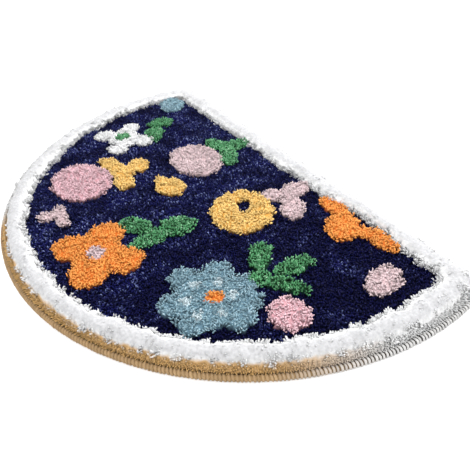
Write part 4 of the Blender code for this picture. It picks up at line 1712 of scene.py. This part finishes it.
    def build_stitches(self, planter: Planter, finish: bpy.types.Material) -> bpy.types.Object:
        """Build the stitches round the whole edge.

        Args:
            planter: The planter that sets them.
            finish: Their material.

        Returns:
            The piece.
        """
        dice = random.Random(self.seed)
        shapes = bpy.data.collections.new("stitches")
        for number in range(self.variants):
            shapes.objects.link(self.stitch(number, dice))
        spread = np.random.default_rng(self.seed)
        edge, outs = self.outline.ring(0.0, self.pitch)
        count = len(edge)
        moves = spread.normal(0.0, self.shake, count)
        places = edge - outs * self.middle_inset + crosswise(outs) * moves[:, None]
        heights = self.middle_height + spread.normal(0.0, self.height_spread, count)
        spins = np.arctan2(outs[:, 1], outs[:, 0]) + spread.normal(0.0, self.spin_spread, count)
        upright = np.tile([0.0, 0.0, 1.0], (count, 1))
        stand = Anchors(np.column_stack([places, heights]), upright, spread.uniform(*self.SIZES, count),
                        spread.uniform(0.0, 1.0, count), spins, facing_up(outs))
        piece = planter.plant("binding_stitches", stand, shapes, finish, self.seed)
        forget(shapes)
        return piece


def new_group(name: str, inputs: dict[str, float], outputs: dict[str, str]) -> tuple[
        bpy.types.NodeTree, Bench, bpy.types.Node, bpy.types.Node]:
    """Make an empty shader node group.

    Args:
        name: Name of the group.
        inputs: Names of its number inputs and their usual values.
        outputs: Names and kinds of its outputs.

    Returns:
        The group, a bench for it, its input node and its output node.
    """
    tree = bpy.data.node_groups.new(name, "ShaderNodeTree")
    for label, usual in inputs.items():
        tree.interface.new_socket(label, in_out="INPUT", socket_type="NodeSocketFloat").default_value = usual
    for label, kind in outputs.items():
        tree.interface.new_socket(label, in_out="OUTPUT", socket_type=kind)
    return tree, Bench(tree), tree.nodes.new("NodeGroupInput"), tree.nodes.new("NodeGroupOutput")


class SharedEffects:
    """The node groups that several materials use."""

    TURNED_UP = (0.72, 0.95)  # Upward part of the surface between which feet stop being dark
    FOOT = (0.1, 0.8)  # Share of the length between which a foot's darkness fades
    OWN_SHARE = 0.4  # Share of a strand's own tone against its tuft's
    GLINT_POWER = 7.0  # How few strands are bright
    FIBRE_DEPTH = 0.0006  # Depth of the fibres' bumps
    # The warm part is painted warm bounce light on the lower rim of the round edge; these numbers shape its
    # mask.
    WAVE_SCALE = 90.0  # How fine the warm part's upper edge waves, and how far
    WAVE_HEIGHT = 0.010
    RIM = (0.018, 0.013)  # Distances inside the rug's edge between which the warm part starts
    WARM_START = (math.radians(-113), math.radians(-104))  # Directions between which it starts and ends
    WARM_END = (math.radians(-32), math.radians(-8))
    PILE_WARMTH = {"Height": 0.0190, "Height blur": 0.0030}

    def __init__(self, outline: HalfMoon) -> None:
        """Build the groups."""
        self.outline = outline
        self.strand = self.build_strand()
        self.warm_edge = self.build_warm_edge()

    def build_strand(self) -> bpy.types.NodeTree:
        """Return the group for yarn ends: how deep a point lies, how bright its yarn is, and its fibres."""
        usual = {"Root reach": 0.6, "Tone spread": 0.3, "Fibre bump": 0.4, "Fibre scale": 1500.0,
                 "Softness": 0.0, "Foot shade": 0.0}
        kinds = {name: "NodeSocketFloat" for name in ("Depth", "Tone", "Glint", "Foot")}
        tree, bench, given, result = new_group("yarn_strand", usual, {**kinds, "Normal": "NodeSocketVector"})
        along, strand, tuft = (bench.attribute(name) for name in ("along", "strand", "tone"))
        surface = bench.attribute("surface", "Vector")
        depth = bench.span(bench.math("DIVIDE", along, given.outputs["Root reach"]), 0.0, 1.0)
        upwards = bench.node("ShaderNodeSeparateXYZ", {"Vector": surface}).outputs["Z"]
        foot = bench.times(bench.span(upwards, *self.TURNED_UP, 1.0, 0.0),
                           bench.span(along, *self.FOOT, 1.0, 0.0))
        own = bench.plus(bench.times(strand, self.OWN_SHARE), bench.times(tuft, 1.0 - self.OWN_SHARE))
        spread = bench.times(bench.minus(own, 0.5), given.outputs["Tone spread"])
        fibre = bench.noise(given.outputs["Fibre scale"], 3.0)
        fuzz = bench.times(bench.minus(fibre, 0.5), 0.5)
        glint = bench.times(bench.math("POWER", strand, self.GLINT_POWER), tuft)
        bump = bench.bump(fibre, given.outputs["Fibre bump"], self.FIBRE_DEPTH)
        shared = bench.node("ShaderNodeVectorMath", {0: surface, "Scale": given.outputs["Softness"]},
                            operation="SCALE")
        both = bench.node("ShaderNodeVectorMath", {0: shared.outputs[0], 1: bump}, operation="ADD")
        soft = bench.node("ShaderNodeVectorMath", {0: both.outputs[0]}, operation="NORMALIZE")
        bench.put(depth, result.inputs["Depth"])
        bench.put(bench.plus(bench.plus(spread, fuzz), 1.0), result.inputs["Tone"])
        bench.put(bench.times(glint, depth), result.inputs["Glint"])
        bench.put(bench.times(foot, given.outputs["Foot shade"]), result.inputs["Foot"])
        bench.put(soft.outputs[0], result.inputs["Normal"])
        return tree

    def build_warm_edge(self) -> bpy.types.NodeTree:
        """Return the group that masks the warm, tan part of the round edge's rim: painted warm bounce light
        on its lower side.
        """
        tree, bench, given, result = new_group(
            "warm_edge", {"Height": 0.017, "Height blur": 0.005}, {"Mask": "NodeSocketFloat"})
        place = bench.node("ShaderNodeSeparateXYZ", {"Vector": bench.object_place()}).outputs
        x, y = place["X"], bench.minus(place["Y"], self.outline.arc_middle_y)
        wave = bench.times(bench.minus(bench.noise(self.WAVE_SCALE, 1.0), 0.5), self.WAVE_HEIGHT)
        over = bench.minus(bench.plus(place["Z"], wave), given.outputs["Height"])
        low = bench.span(bench.math("DIVIDE", over, given.outputs["Height blur"]), -1.0, 1.0, 1.0, 0.0)
        radius = bench.math("SQRT", bench.plus(bench.times(x, x), bench.times(y, y)))
        rim = bench.span(radius, *(self.outline.arc_radius - inset for inset in self.RIM))
        angle = bench.math("ARCTAN2", y, x)
        reach = bench.times(bench.span(angle, *self.WARM_START), bench.span(angle, *self.WARM_END, 1.0, 0.0))
        bench.put(bench.times(bench.times(low, rim), reach), result.inputs["Mask"])
        return tree

    def warmed(self, bench: Bench, colour: Socket, warm: Colour) -> Socket:
        """Return a pile's colour, turned warm near the rim of the round edge by painted warm bounce light."""
        edge = bench.group(self.warm_edge, self.PILE_WARMTH)
        return bench.mix(edge.outputs["Mask"], colour, bench.multiplied(colour, warm))


def new_material(name: str, roughness: float, specular: float
                 ) -> tuple[bpy.types.Material, Bench, bpy.types.Node]:
    """Return a new material, a bench for its tree, and its Principled BSDF with roughness and shine set."""
    material = bpy.data.materials.new(name)
    material.use_nodes = True
    shader = next(node for node in material.node_tree.nodes if node.type == "BSDF_PRINCIPLED")
    shader.inputs["Roughness"].default_value = roughness
    shader.inputs["Specular IOR Level"].default_value = specular
    return material, Bench(material.node_tree), shader


@dataclass(frozen=True)
class YarnFinish:
    """How one pile yarn looks.

    Args:
        name: Name of the material.
        root: Linear colour deep in the pile; where darker than the tip it is painted shade between the tufts,
            and where lighter, as in the border's white, painted light between the fibres.
        tip: Linear colour at the tips.
        roughness: Roughness of the yarn.
        specular: Strength of its shine.
        sheen: Strength of its bloom of loose fibres.
        tone_spread: How unlike its strands are.
        root_reach: Share of a strand's length over which its root colour fades.
        scatter: Share of the light that scatters inside the yarn.
        softness: How far strands are shaded as one surface, 0 for each on its own.
        foot_shade: How dark strands are at their feet where the surface falls away.
        foot_level: Brightness of such a foot, as a share of the root's.
        glint: Linear colour of painted glints on its few brightest strands, or none.
        warm: Linear colour of its warm edge, painted warm bounce light, or none.
    """

    name: str
    root: Colour
    tip: Colour
    roughness: float = 0.90
    specular: float = 0.12
    sheen: float = 0.15
    tone_spread: float = 0.45
    root_reach: float = 0.75
    scatter: float = 0.0
    softness: float = 1.4
    foot_shade: float = 0.85
    foot_level: float = 0.2
    glint: Colour | None = None
    warm: Colour | None = None

    def build(self, effects: SharedEffects) -> bpy.types.Material:
        """Build the material.

        Args:
            effects: The shared node groups.

        Returns:
            The material.
        """
        material, bench, shader = new_material(self.name, self.roughness, self.specular)
        strand = bench.group(effects.strand, {
            "Root reach": self.root_reach, "Tone spread": self.tone_spread, "Fibre bump": 0.35,
            "Softness": self.softness, "Foot shade": self.foot_shade}).outputs
        # Root to tip: painted shade deep in the pile, or painted light there in the border's white.
        colour = bench.mix(strand["Depth"], self.root, self.tip)
        colour = bench.multiplied(colour, bench.grey(strand["Tone"]))
        colour = bench.mix(strand["Foot"], colour, tuple(self.foot_level * part for part in self.root))
        # Painted glints on the brightest strands.
        if self.glint is not None:
            colour = bench.mix(strand["Glint"], colour, self.glint)
        if self.warm is not None:
            colour = effects.warmed(bench, colour, self.warm)
        for name, value in {"Base Color": colour, "Normal": strand["Normal"], "Sheen Weight": self.sheen,
                            "Sheen Roughness": 0.5, "Subsurface Weight": self.scatter,
                            "Subsurface Radius": (1.0, 1.0, 1.0), "Subsurface Scale": 0.004}.items():
            bench.put(value, shader.inputs[name])
        return material


@dataclass(frozen=True)
class BedFinish:
    """How the dense foot of the pile looks: the yarns' colours, mottled, and warm at the round edge's rim,
    where the warmth is painted warm bounce light.

    Args:
        warm: Linear colour of the warm part, painted warm bounce light.
        dim: Brightness against the yarns' own.
        mottling: How far the brightness goes up and down, as a share.
        grain: How fine the mottling is.
    """

    warm: Colour
    dim: float = 0.95
    mottling: float = 0.15
    grain: float = 260.0

    def build(self, effects: SharedEffects) -> bpy.types.Material:
        """Build the material.

        Args:
            effects: The shared node groups.

        Returns:
            The material.
        """
        material, bench, shader = new_material("pile_bed_yarn", roughness=0.95, specular=0.1)
        grain = bench.noise(self.grain, 3.0)
        low, high = self.dim * (1.0 - self.mottling), self.dim * (1.0 + self.mottling)
        level = bench.span(grain, 0.3, 0.7, low, high, "LINEAR")
        colour = bench.multiplied(bench.attribute("yarn_colour", "Color"), bench.grey(level))
        bench.put(effects.warmed(bench, colour, self.warm), shader.inputs["Base Color"])
        bench.put(bench.bump(grain, strength=0.5, distance=0.0015), shader.inputs["Normal"])
        return material


@dataclass(frozen=True)
class BindingFinish:
    """How the binding's yarn looks, pale at the straight edge and tan at the round one, where the tan is
    painted warm bounce light; its grooves hold painted shade.

    Args:
        name: Name of the material.
        pale: Linear colour at the straight edge.
        tan: Linear colour at the round edge, painted warm bounce light.
        pale_groove: Share of the brightness that is left in the grooves where it is pale.
        tan_groove: The same where it is tan.
        softness: How far stitches are shaded as one surface.
    """

    name: str
    pale: Colour
    tan: Colour
    # The grooves' darkening is painted shade between the stitches.
    pale_groove: float
    tan_groove: float
    softness: float = 2.0

    def build(self, effects: SharedEffects) -> bpy.types.Material:
        """Build the material.

        Args:
            effects: The shared node groups.

        Returns:
            The material.
        """
        material, bench, shader = new_material(self.name, roughness=0.75, specular=0.3)
        # Painted warm bounce light at the round edge's rim, and painted shade in the grooves between the
        # stitches.
        edge = bench.group(effects.warm_edge, {"Height": 0.030, "Height blur": 0.004}).outputs["Mask"]
        strand = bench.group(effects.strand, {
            "Root reach": 1.0, "Tone spread": 0.35, "Fibre bump": 0.5, "Fibre scale": 1800.0,
            "Softness": self.softness}).outputs
        groove_shade = bench.span(edge, 0.0, 1.0, self.pale_groove, self.tan_groove, "LINEAR")
        level = bench.span(strand["Depth"], 0.0, 1.0, groove_shade, 1.0, "LINEAR")
        tone = bench.grey(bench.times(level, strand["Tone"]))
        bench.put(bench.multiplied(bench.mix(edge, self.pale, self.tan), tone), shader.inputs["Base Color"])
        bench.put(strand["Normal"], shader.inputs["Normal"])
        return material


@dataclass(frozen=True)
class BackingFinish:
    """How the backing cloth looks: a plain weave of coarse threads.

    Args:
        light: Linear colour of the threads.
        dark: Linear colour between them.
        thread: Distance between threads.
        slub_scale: How fine the threads' unevenness is.
        slub: How strong it is.
    """

    light: Colour = (0.56, 0.50, 0.40)
    dark: Colour = (0.30, 0.26, 0.19)
    thread: float = 0.0016
    slub_scale: float = 140.0
    slub: float = 0.6

    def build(self) -> bpy.types.Material:
        """Build the material."""
        material, bench, shader = new_material("backing_weave", roughness=0.9, specular=0.15)
        place = bench.node("ShaderNodeSeparateXYZ", {"Vector": bench.object_place()}).outputs
        turns = FULL_TURN / (2 * self.thread)
        waves = [bench.math("SINE", bench.times(place[axis], turns)) for axis in "XY"]
        over = bench.math("ABSOLUTE", bench.times(*waves))
        height = bench.plus(over, bench.times(bench.noise(self.slub_scale, 3.0), self.slub))
        colour = bench.mix(bench.span(height, 0.2, 1.3, kind="LINEAR"), self.dark, self.light)
        bench.put(colour, shader.inputs["Base Color"])
        bench.put(bench.bump(height, strength=0.8, distance=0.0006), shader.inputs["Normal"])
        return material


YARN_FINISHES = {
    Yarn.NAVY: YarnFinish("yarn_navy", (0.0012, 0.0018, 0.018), (0.0036, 0.0052, 0.078), roughness=0.6,
                          specular=0.12, sheen=0.0, tone_spread=1.3, softness=0.0, foot_shade=0.0,
                          glint=(0.30, 0.37, 0.70)),
    Yarn.WHITE: YarnFinish("yarn_white_motif", (0.84, 0.84, 0.85), (0.95, 0.95, 0.96), softness=2.5,
                           foot_shade=0.3),
    Yarn.LIGHT_BLUE: YarnFinish("yarn_light_blue", (0.115, 0.205, 0.26), (0.25, 0.40, 0.475), tone_spread=0.7,
                                glint=(0.60, 0.73, 0.78)),
    Yarn.PALE_PINK: YarnFinish("yarn_pale_pink", (0.60, 0.44, 0.455), (0.76, 0.595, 0.615), tone_spread=0.65,
                               softness=2.6),
    Yarn.PINK: YarnFinish("yarn_pink", (0.62, 0.33, 0.37), (0.82, 0.545, 0.60), tone_spread=0.65,
                          softness=2.6),
    Yarn.YELLOW: YarnFinish("yarn_yellow", (0.62, 0.32, 0.07), (0.90, 0.62, 0.22)),
    Yarn.GREEN: YarnFinish("yarn_green", (0.006, 0.034, 0.012), (0.085, 0.32, 0.13), tone_spread=1.0,
                          glint=(0.56, 0.82, 0.60)),
    Yarn.ORANGE: YarnFinish("yarn_orange", (0.60, 0.15, 0.025), (0.92, 0.37, 0.085)),
    Yarn.PALE_BLUE: YarnFinish("yarn_pale_blue", (0.38, 0.48, 0.52), (0.58, 0.69, 0.73)),
}
# The border's yarn on its upper side, at its edges, in the fringe and in the skirt, and its bed
# These are lit and shaded copies of one white yarn, which is painted light and shade: the upper side and its
# bed are darker,
# and the edges, fringe and skirt lighter where they lie in shade; roots lighter than tips are painted light
# between
# the fibres, and the warm tints are painted warm bounce light.
BORDER_YARN = {"root_reach": 0.9, "foot_shade": 0.0, "specular": 0.1}
BORDER_FINISH = YarnFinish("yarn_white", (0.70, 0.70, 0.70), (0.54, 0.54, 0.55), tone_spread=0.08,
                           scatter=0.6, softness=5.0, warm=(0.78, 0.50, 0.23), **BORDER_YARN)
EDGE_PAINTED_LIGHT_FINISH = YarnFinish("yarn_white_edge", (0.86, 0.86, 0.86), (0.69, 0.69, 0.70), tone_spread=0.04,
                         scatter=0.6, softness=5.0, warm=(0.78, 0.50, 0.23), **BORDER_YARN)
FRINGE_PAINTED_LIGHT_FINISH = YarnFinish("yarn_white_fringe", (0.94, 0.94, 0.94), (0.82, 0.82, 0.83), tone_spread=0.06,
                           softness=8.0, **BORDER_YARN)
SKIRT_PAINTED_LIGHT_FINISH = YarnFinish("yarn_white_skirt", (0.92, 0.92, 0.92), (0.86, 0.86, 0.86), tone_spread=0.03,
                          softness=8.0, warm=(0.86, 0.52, 0.20), **BORDER_YARN)
BORDER_BED = (0.51, 0.51, 0.52)
# The core is near black away from the tan part: painted shade in the gaps between the stitches. Its tan is
# painted warm bounce light.
CORE_FINISH = BindingFinish("binding_core", (0.05, 0.045, 0.04), (0.40, 0.25, 0.11), 0.8, 1.0)
# The stitches' tan is painted warm bounce light, and their darker grooves are painted shade.
STITCH_FINISH = BindingFinish("binding_yarn", (0.96, 0.95, 0.94), (0.40, 0.26, 0.13), 0.60, 0.95)


@dataclass(frozen=True)
class Studio:
    """The pale floor, the soft light and the camera.

    Args:
        camera: Place of the camera.
        right: The camera's right.
        up: The camera's up.
        lens: Focal length in millimetres.
        sensor: Width of the camera's sensor in millimetres.
        floor_size: Size of the floor.
        floor_drop: How far it lies under the rug, so that the two never meet.
        floor_colour: Its linear colour.
        floor_mottling: How much darker it is in places, as a share.
        floor_glow: Light of its own, which keeps it as white as the photo's.
        world_dim: Strength of the light from all round, away from the key light.
        world_bright: The same towards the key light.
        world_fade: Cosines to the key light's direction between which it grows.
        key_energy: Strength of the key light in watts.
        key_size: Size of the key light.
        key_place: Place of the key light.
    """

    camera: Place = (0.59991, -0.24364, 0.46171)
    right: Place = (0.54203, 0.83936, -0.04098)
    up: Place = (-0.50921, 0.36684, 0.77855)
    lens: float = 38.18
    sensor: float = 36.0
    floor_size: float = 8.0
    floor_drop: float = 0.0003
    floor_colour: Colour = (0.93, 0.93, 0.93)
    floor_mottling: float = 0.02
    floor_glow: float = 0.30
    world_dim: float = 1.28
    world_bright: float = 1.72
    world_fade: tuple[float, float] = (-0.4, 1.0)
    key_energy: float = 18.0
    key_size: float = 1.2
    key_place: Place = (-0.3, 1.3, 1.0)

    def build(self) -> None:
        """Build the studio and choose its camera."""
        self.build_floor()
        self.build_light()
        self.build_camera()
        bpy.context.scene.view_settings.view_transform = "Standard"

    def build_floor(self) -> None:
        """Build the floor a little under the rug."""
        material, bench, shader = new_material("studio_floor", roughness=1.0, specular=0.0)
        darker = tuple((1.0 - self.floor_mottling) * part for part in self.floor_colour)
        bench.put(bench.mix(bench.noise(3.0, 1.0), self.floor_colour, darker), shader.inputs["Base Color"])
        shader.inputs["Emission Color"].default_value = (1.0, 1.0, 1.0, 1.0)
        shader.inputs["Emission Strength"].default_value = self.floor_glow
        mesh = bmesh.new()
        bmesh.ops.create_grid(mesh, x_segments=2, y_segments=2, size=self.floor_size / 2)
        bmesh.ops.translate(mesh, verts=mesh.verts, vec=(0, 0, -self.floor_drop))
        finished_piece(mesh, "studio_floor", material, smooth=False)

    def build_light(self) -> None:
        """Build the even light all round and the soft key light behind the straight edge."""
        world = bpy.data.worlds.new("studio_world")
        world.use_nodes = True
        bench = Bench(world.node_tree)
        towards_key = Vector(self.key_place).normalized()
        facing = bench.node("ShaderNodeVectorMath", {0: bench.node("ShaderNodeTexCoord").outputs["Generated"],
                                                     1: tuple(towards_key)}, operation="DOT_PRODUCT")
        level = bench.span(facing.outputs["Value"], *self.world_fade, self.world_dim, self.world_bright)
        background = world.node_tree.nodes["Background"]
        background.inputs["Color"].default_value = (1.0, 1.0, 1.0, 1.0)
        bench.put(level, background.inputs["Strength"])
        bpy.context.scene.world = world
        lamp = bpy.data.lights.new("key_light", "AREA")
        lamp.energy = self.key_energy
        lamp.size = self.key_size
        light = bpy.data.objects.new("key_light", lamp)
        light.location = self.key_place
        light.rotation_euler = (-Vector(self.key_place)).to_track_quat("-Z", "Y").to_euler()
        bpy.context.scene.collection.objects.link(light)

    def build_camera(self) -> None:
        """Build the camera that looks at the rug as the photo does."""
        data = bpy.data.cameras.new("photo_camera")
        data.sensor_width = self.sensor
        data.lens = self.lens
        data.clip_start = 0.01
        camera = bpy.data.objects.new("photo_camera", data)
        right, up = Vector(self.right).normalized(), Vector(self.up).normalized()
        back = right.cross(up)
        camera.matrix_world = Matrix((
            (right.x, up.x, back.x, self.camera[0]), (right.y, up.y, back.y, self.camera[1]),
            (right.z, up.z, back.z, self.camera[2]), (0.0, 0.0, 0.0, 1.0)))
        bpy.context.scene.collection.objects.link(camera)
        bpy.context.scene.camera = camera


@dataclass
class Rug:
    """The whole rug: builds, dresses and reports its pieces.

    Args:
        width: Size along X.
        depth: Size along Y.
        pieces: The pieces that have been added.
    """

    width: float
    depth: float
    pieces: list[bpy.types.Object] = field(default_factory=list)

    def add(self, made: bpy.types.Object | list[bpy.types.Object], node: str, slot: str) -> None:
        """Put pieces on the rug's body, hide the CAD node that they stand for, and log their triangles.

        Args:
            made: One piece or several.
            node: The CAD node that they replace.
            slot: Their material slot; not used.
        """
        for piece in made if isinstance(made, list) else [made]:
            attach(piece, "root")
            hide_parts(node)
            self.pieces.append(piece)
            triangles = sum(len(face.vertices) - 2 for face in piece.data.polygons)
            LOG.info("%s: %d triangles", piece.name, triangles)

    def build(self) -> None:
        """Build all pieces in order."""
        outline = HalfMoon(self.width, self.depth)
        design = Design(outline)
        clumps = Clumps(design)
        heights = PileHeights()
        effects = SharedEffects(outline)
        planter = Planter()
        finishes = {yarn: finish.build(effects) for yarn, finish in YARN_FINISHES.items()}
        colours = {yarn: finish.root for yarn, finish in YARN_FINISHES.items()} | {Yarn.WHITE: BORDER_BED}
        border_finishes = [finish.build(effects)
                           for finish in (BORDER_FINISH, EDGE_PAINTED_LIGHT_FINISH, SKIRT_PAINTED_LIGHT_FINISH, FRINGE_PAINTED_LIGHT_FINISH)]
        backing = BackingSheet(outline)
        cloth = backing.build(BackingFinish().build())
        bed = PileBed(design, clumps, heights).build(BedFinish(BORDER_FINISH.warm).build(effects), colours)
        field_pile = FieldPile(design, clumps, heights).build(planter, finishes[Yarn.NAVY])
        motif_pile = MotifPile(design, clumps, heights).build(planter, finishes)
        border_pile = BorderPile(design, clumps, heights).build(planter, *border_finishes)
        for made, slot in ((cloth, "backing_cloth"), (bed, "navy_pile"), (field_pile, "navy_pile"),
                           (motif_pile, "motif_pile"), (border_pile, "white_pile")):
            self.add(made, "tufted_rug", slot)
        binding = Binding(outline)
        core = binding.build_core(CORE_FINISH.build(effects))
        stitches = binding.build_stitches(planter, STITCH_FINISH.build(effects))
        self.add([core, stitches], "overlock_binding", "binding_yarn")
        backing.area()


def main() -> None:
    """Build the rug and its studio."""
    logging.basicConfig(level=logging.INFO, format="%(message)s")
    low, high = CAD_BOX
    Rug(high.x - low.x, high.y - low.y).build()
    Studio().build()


if __name__ == "__main__":
    main()
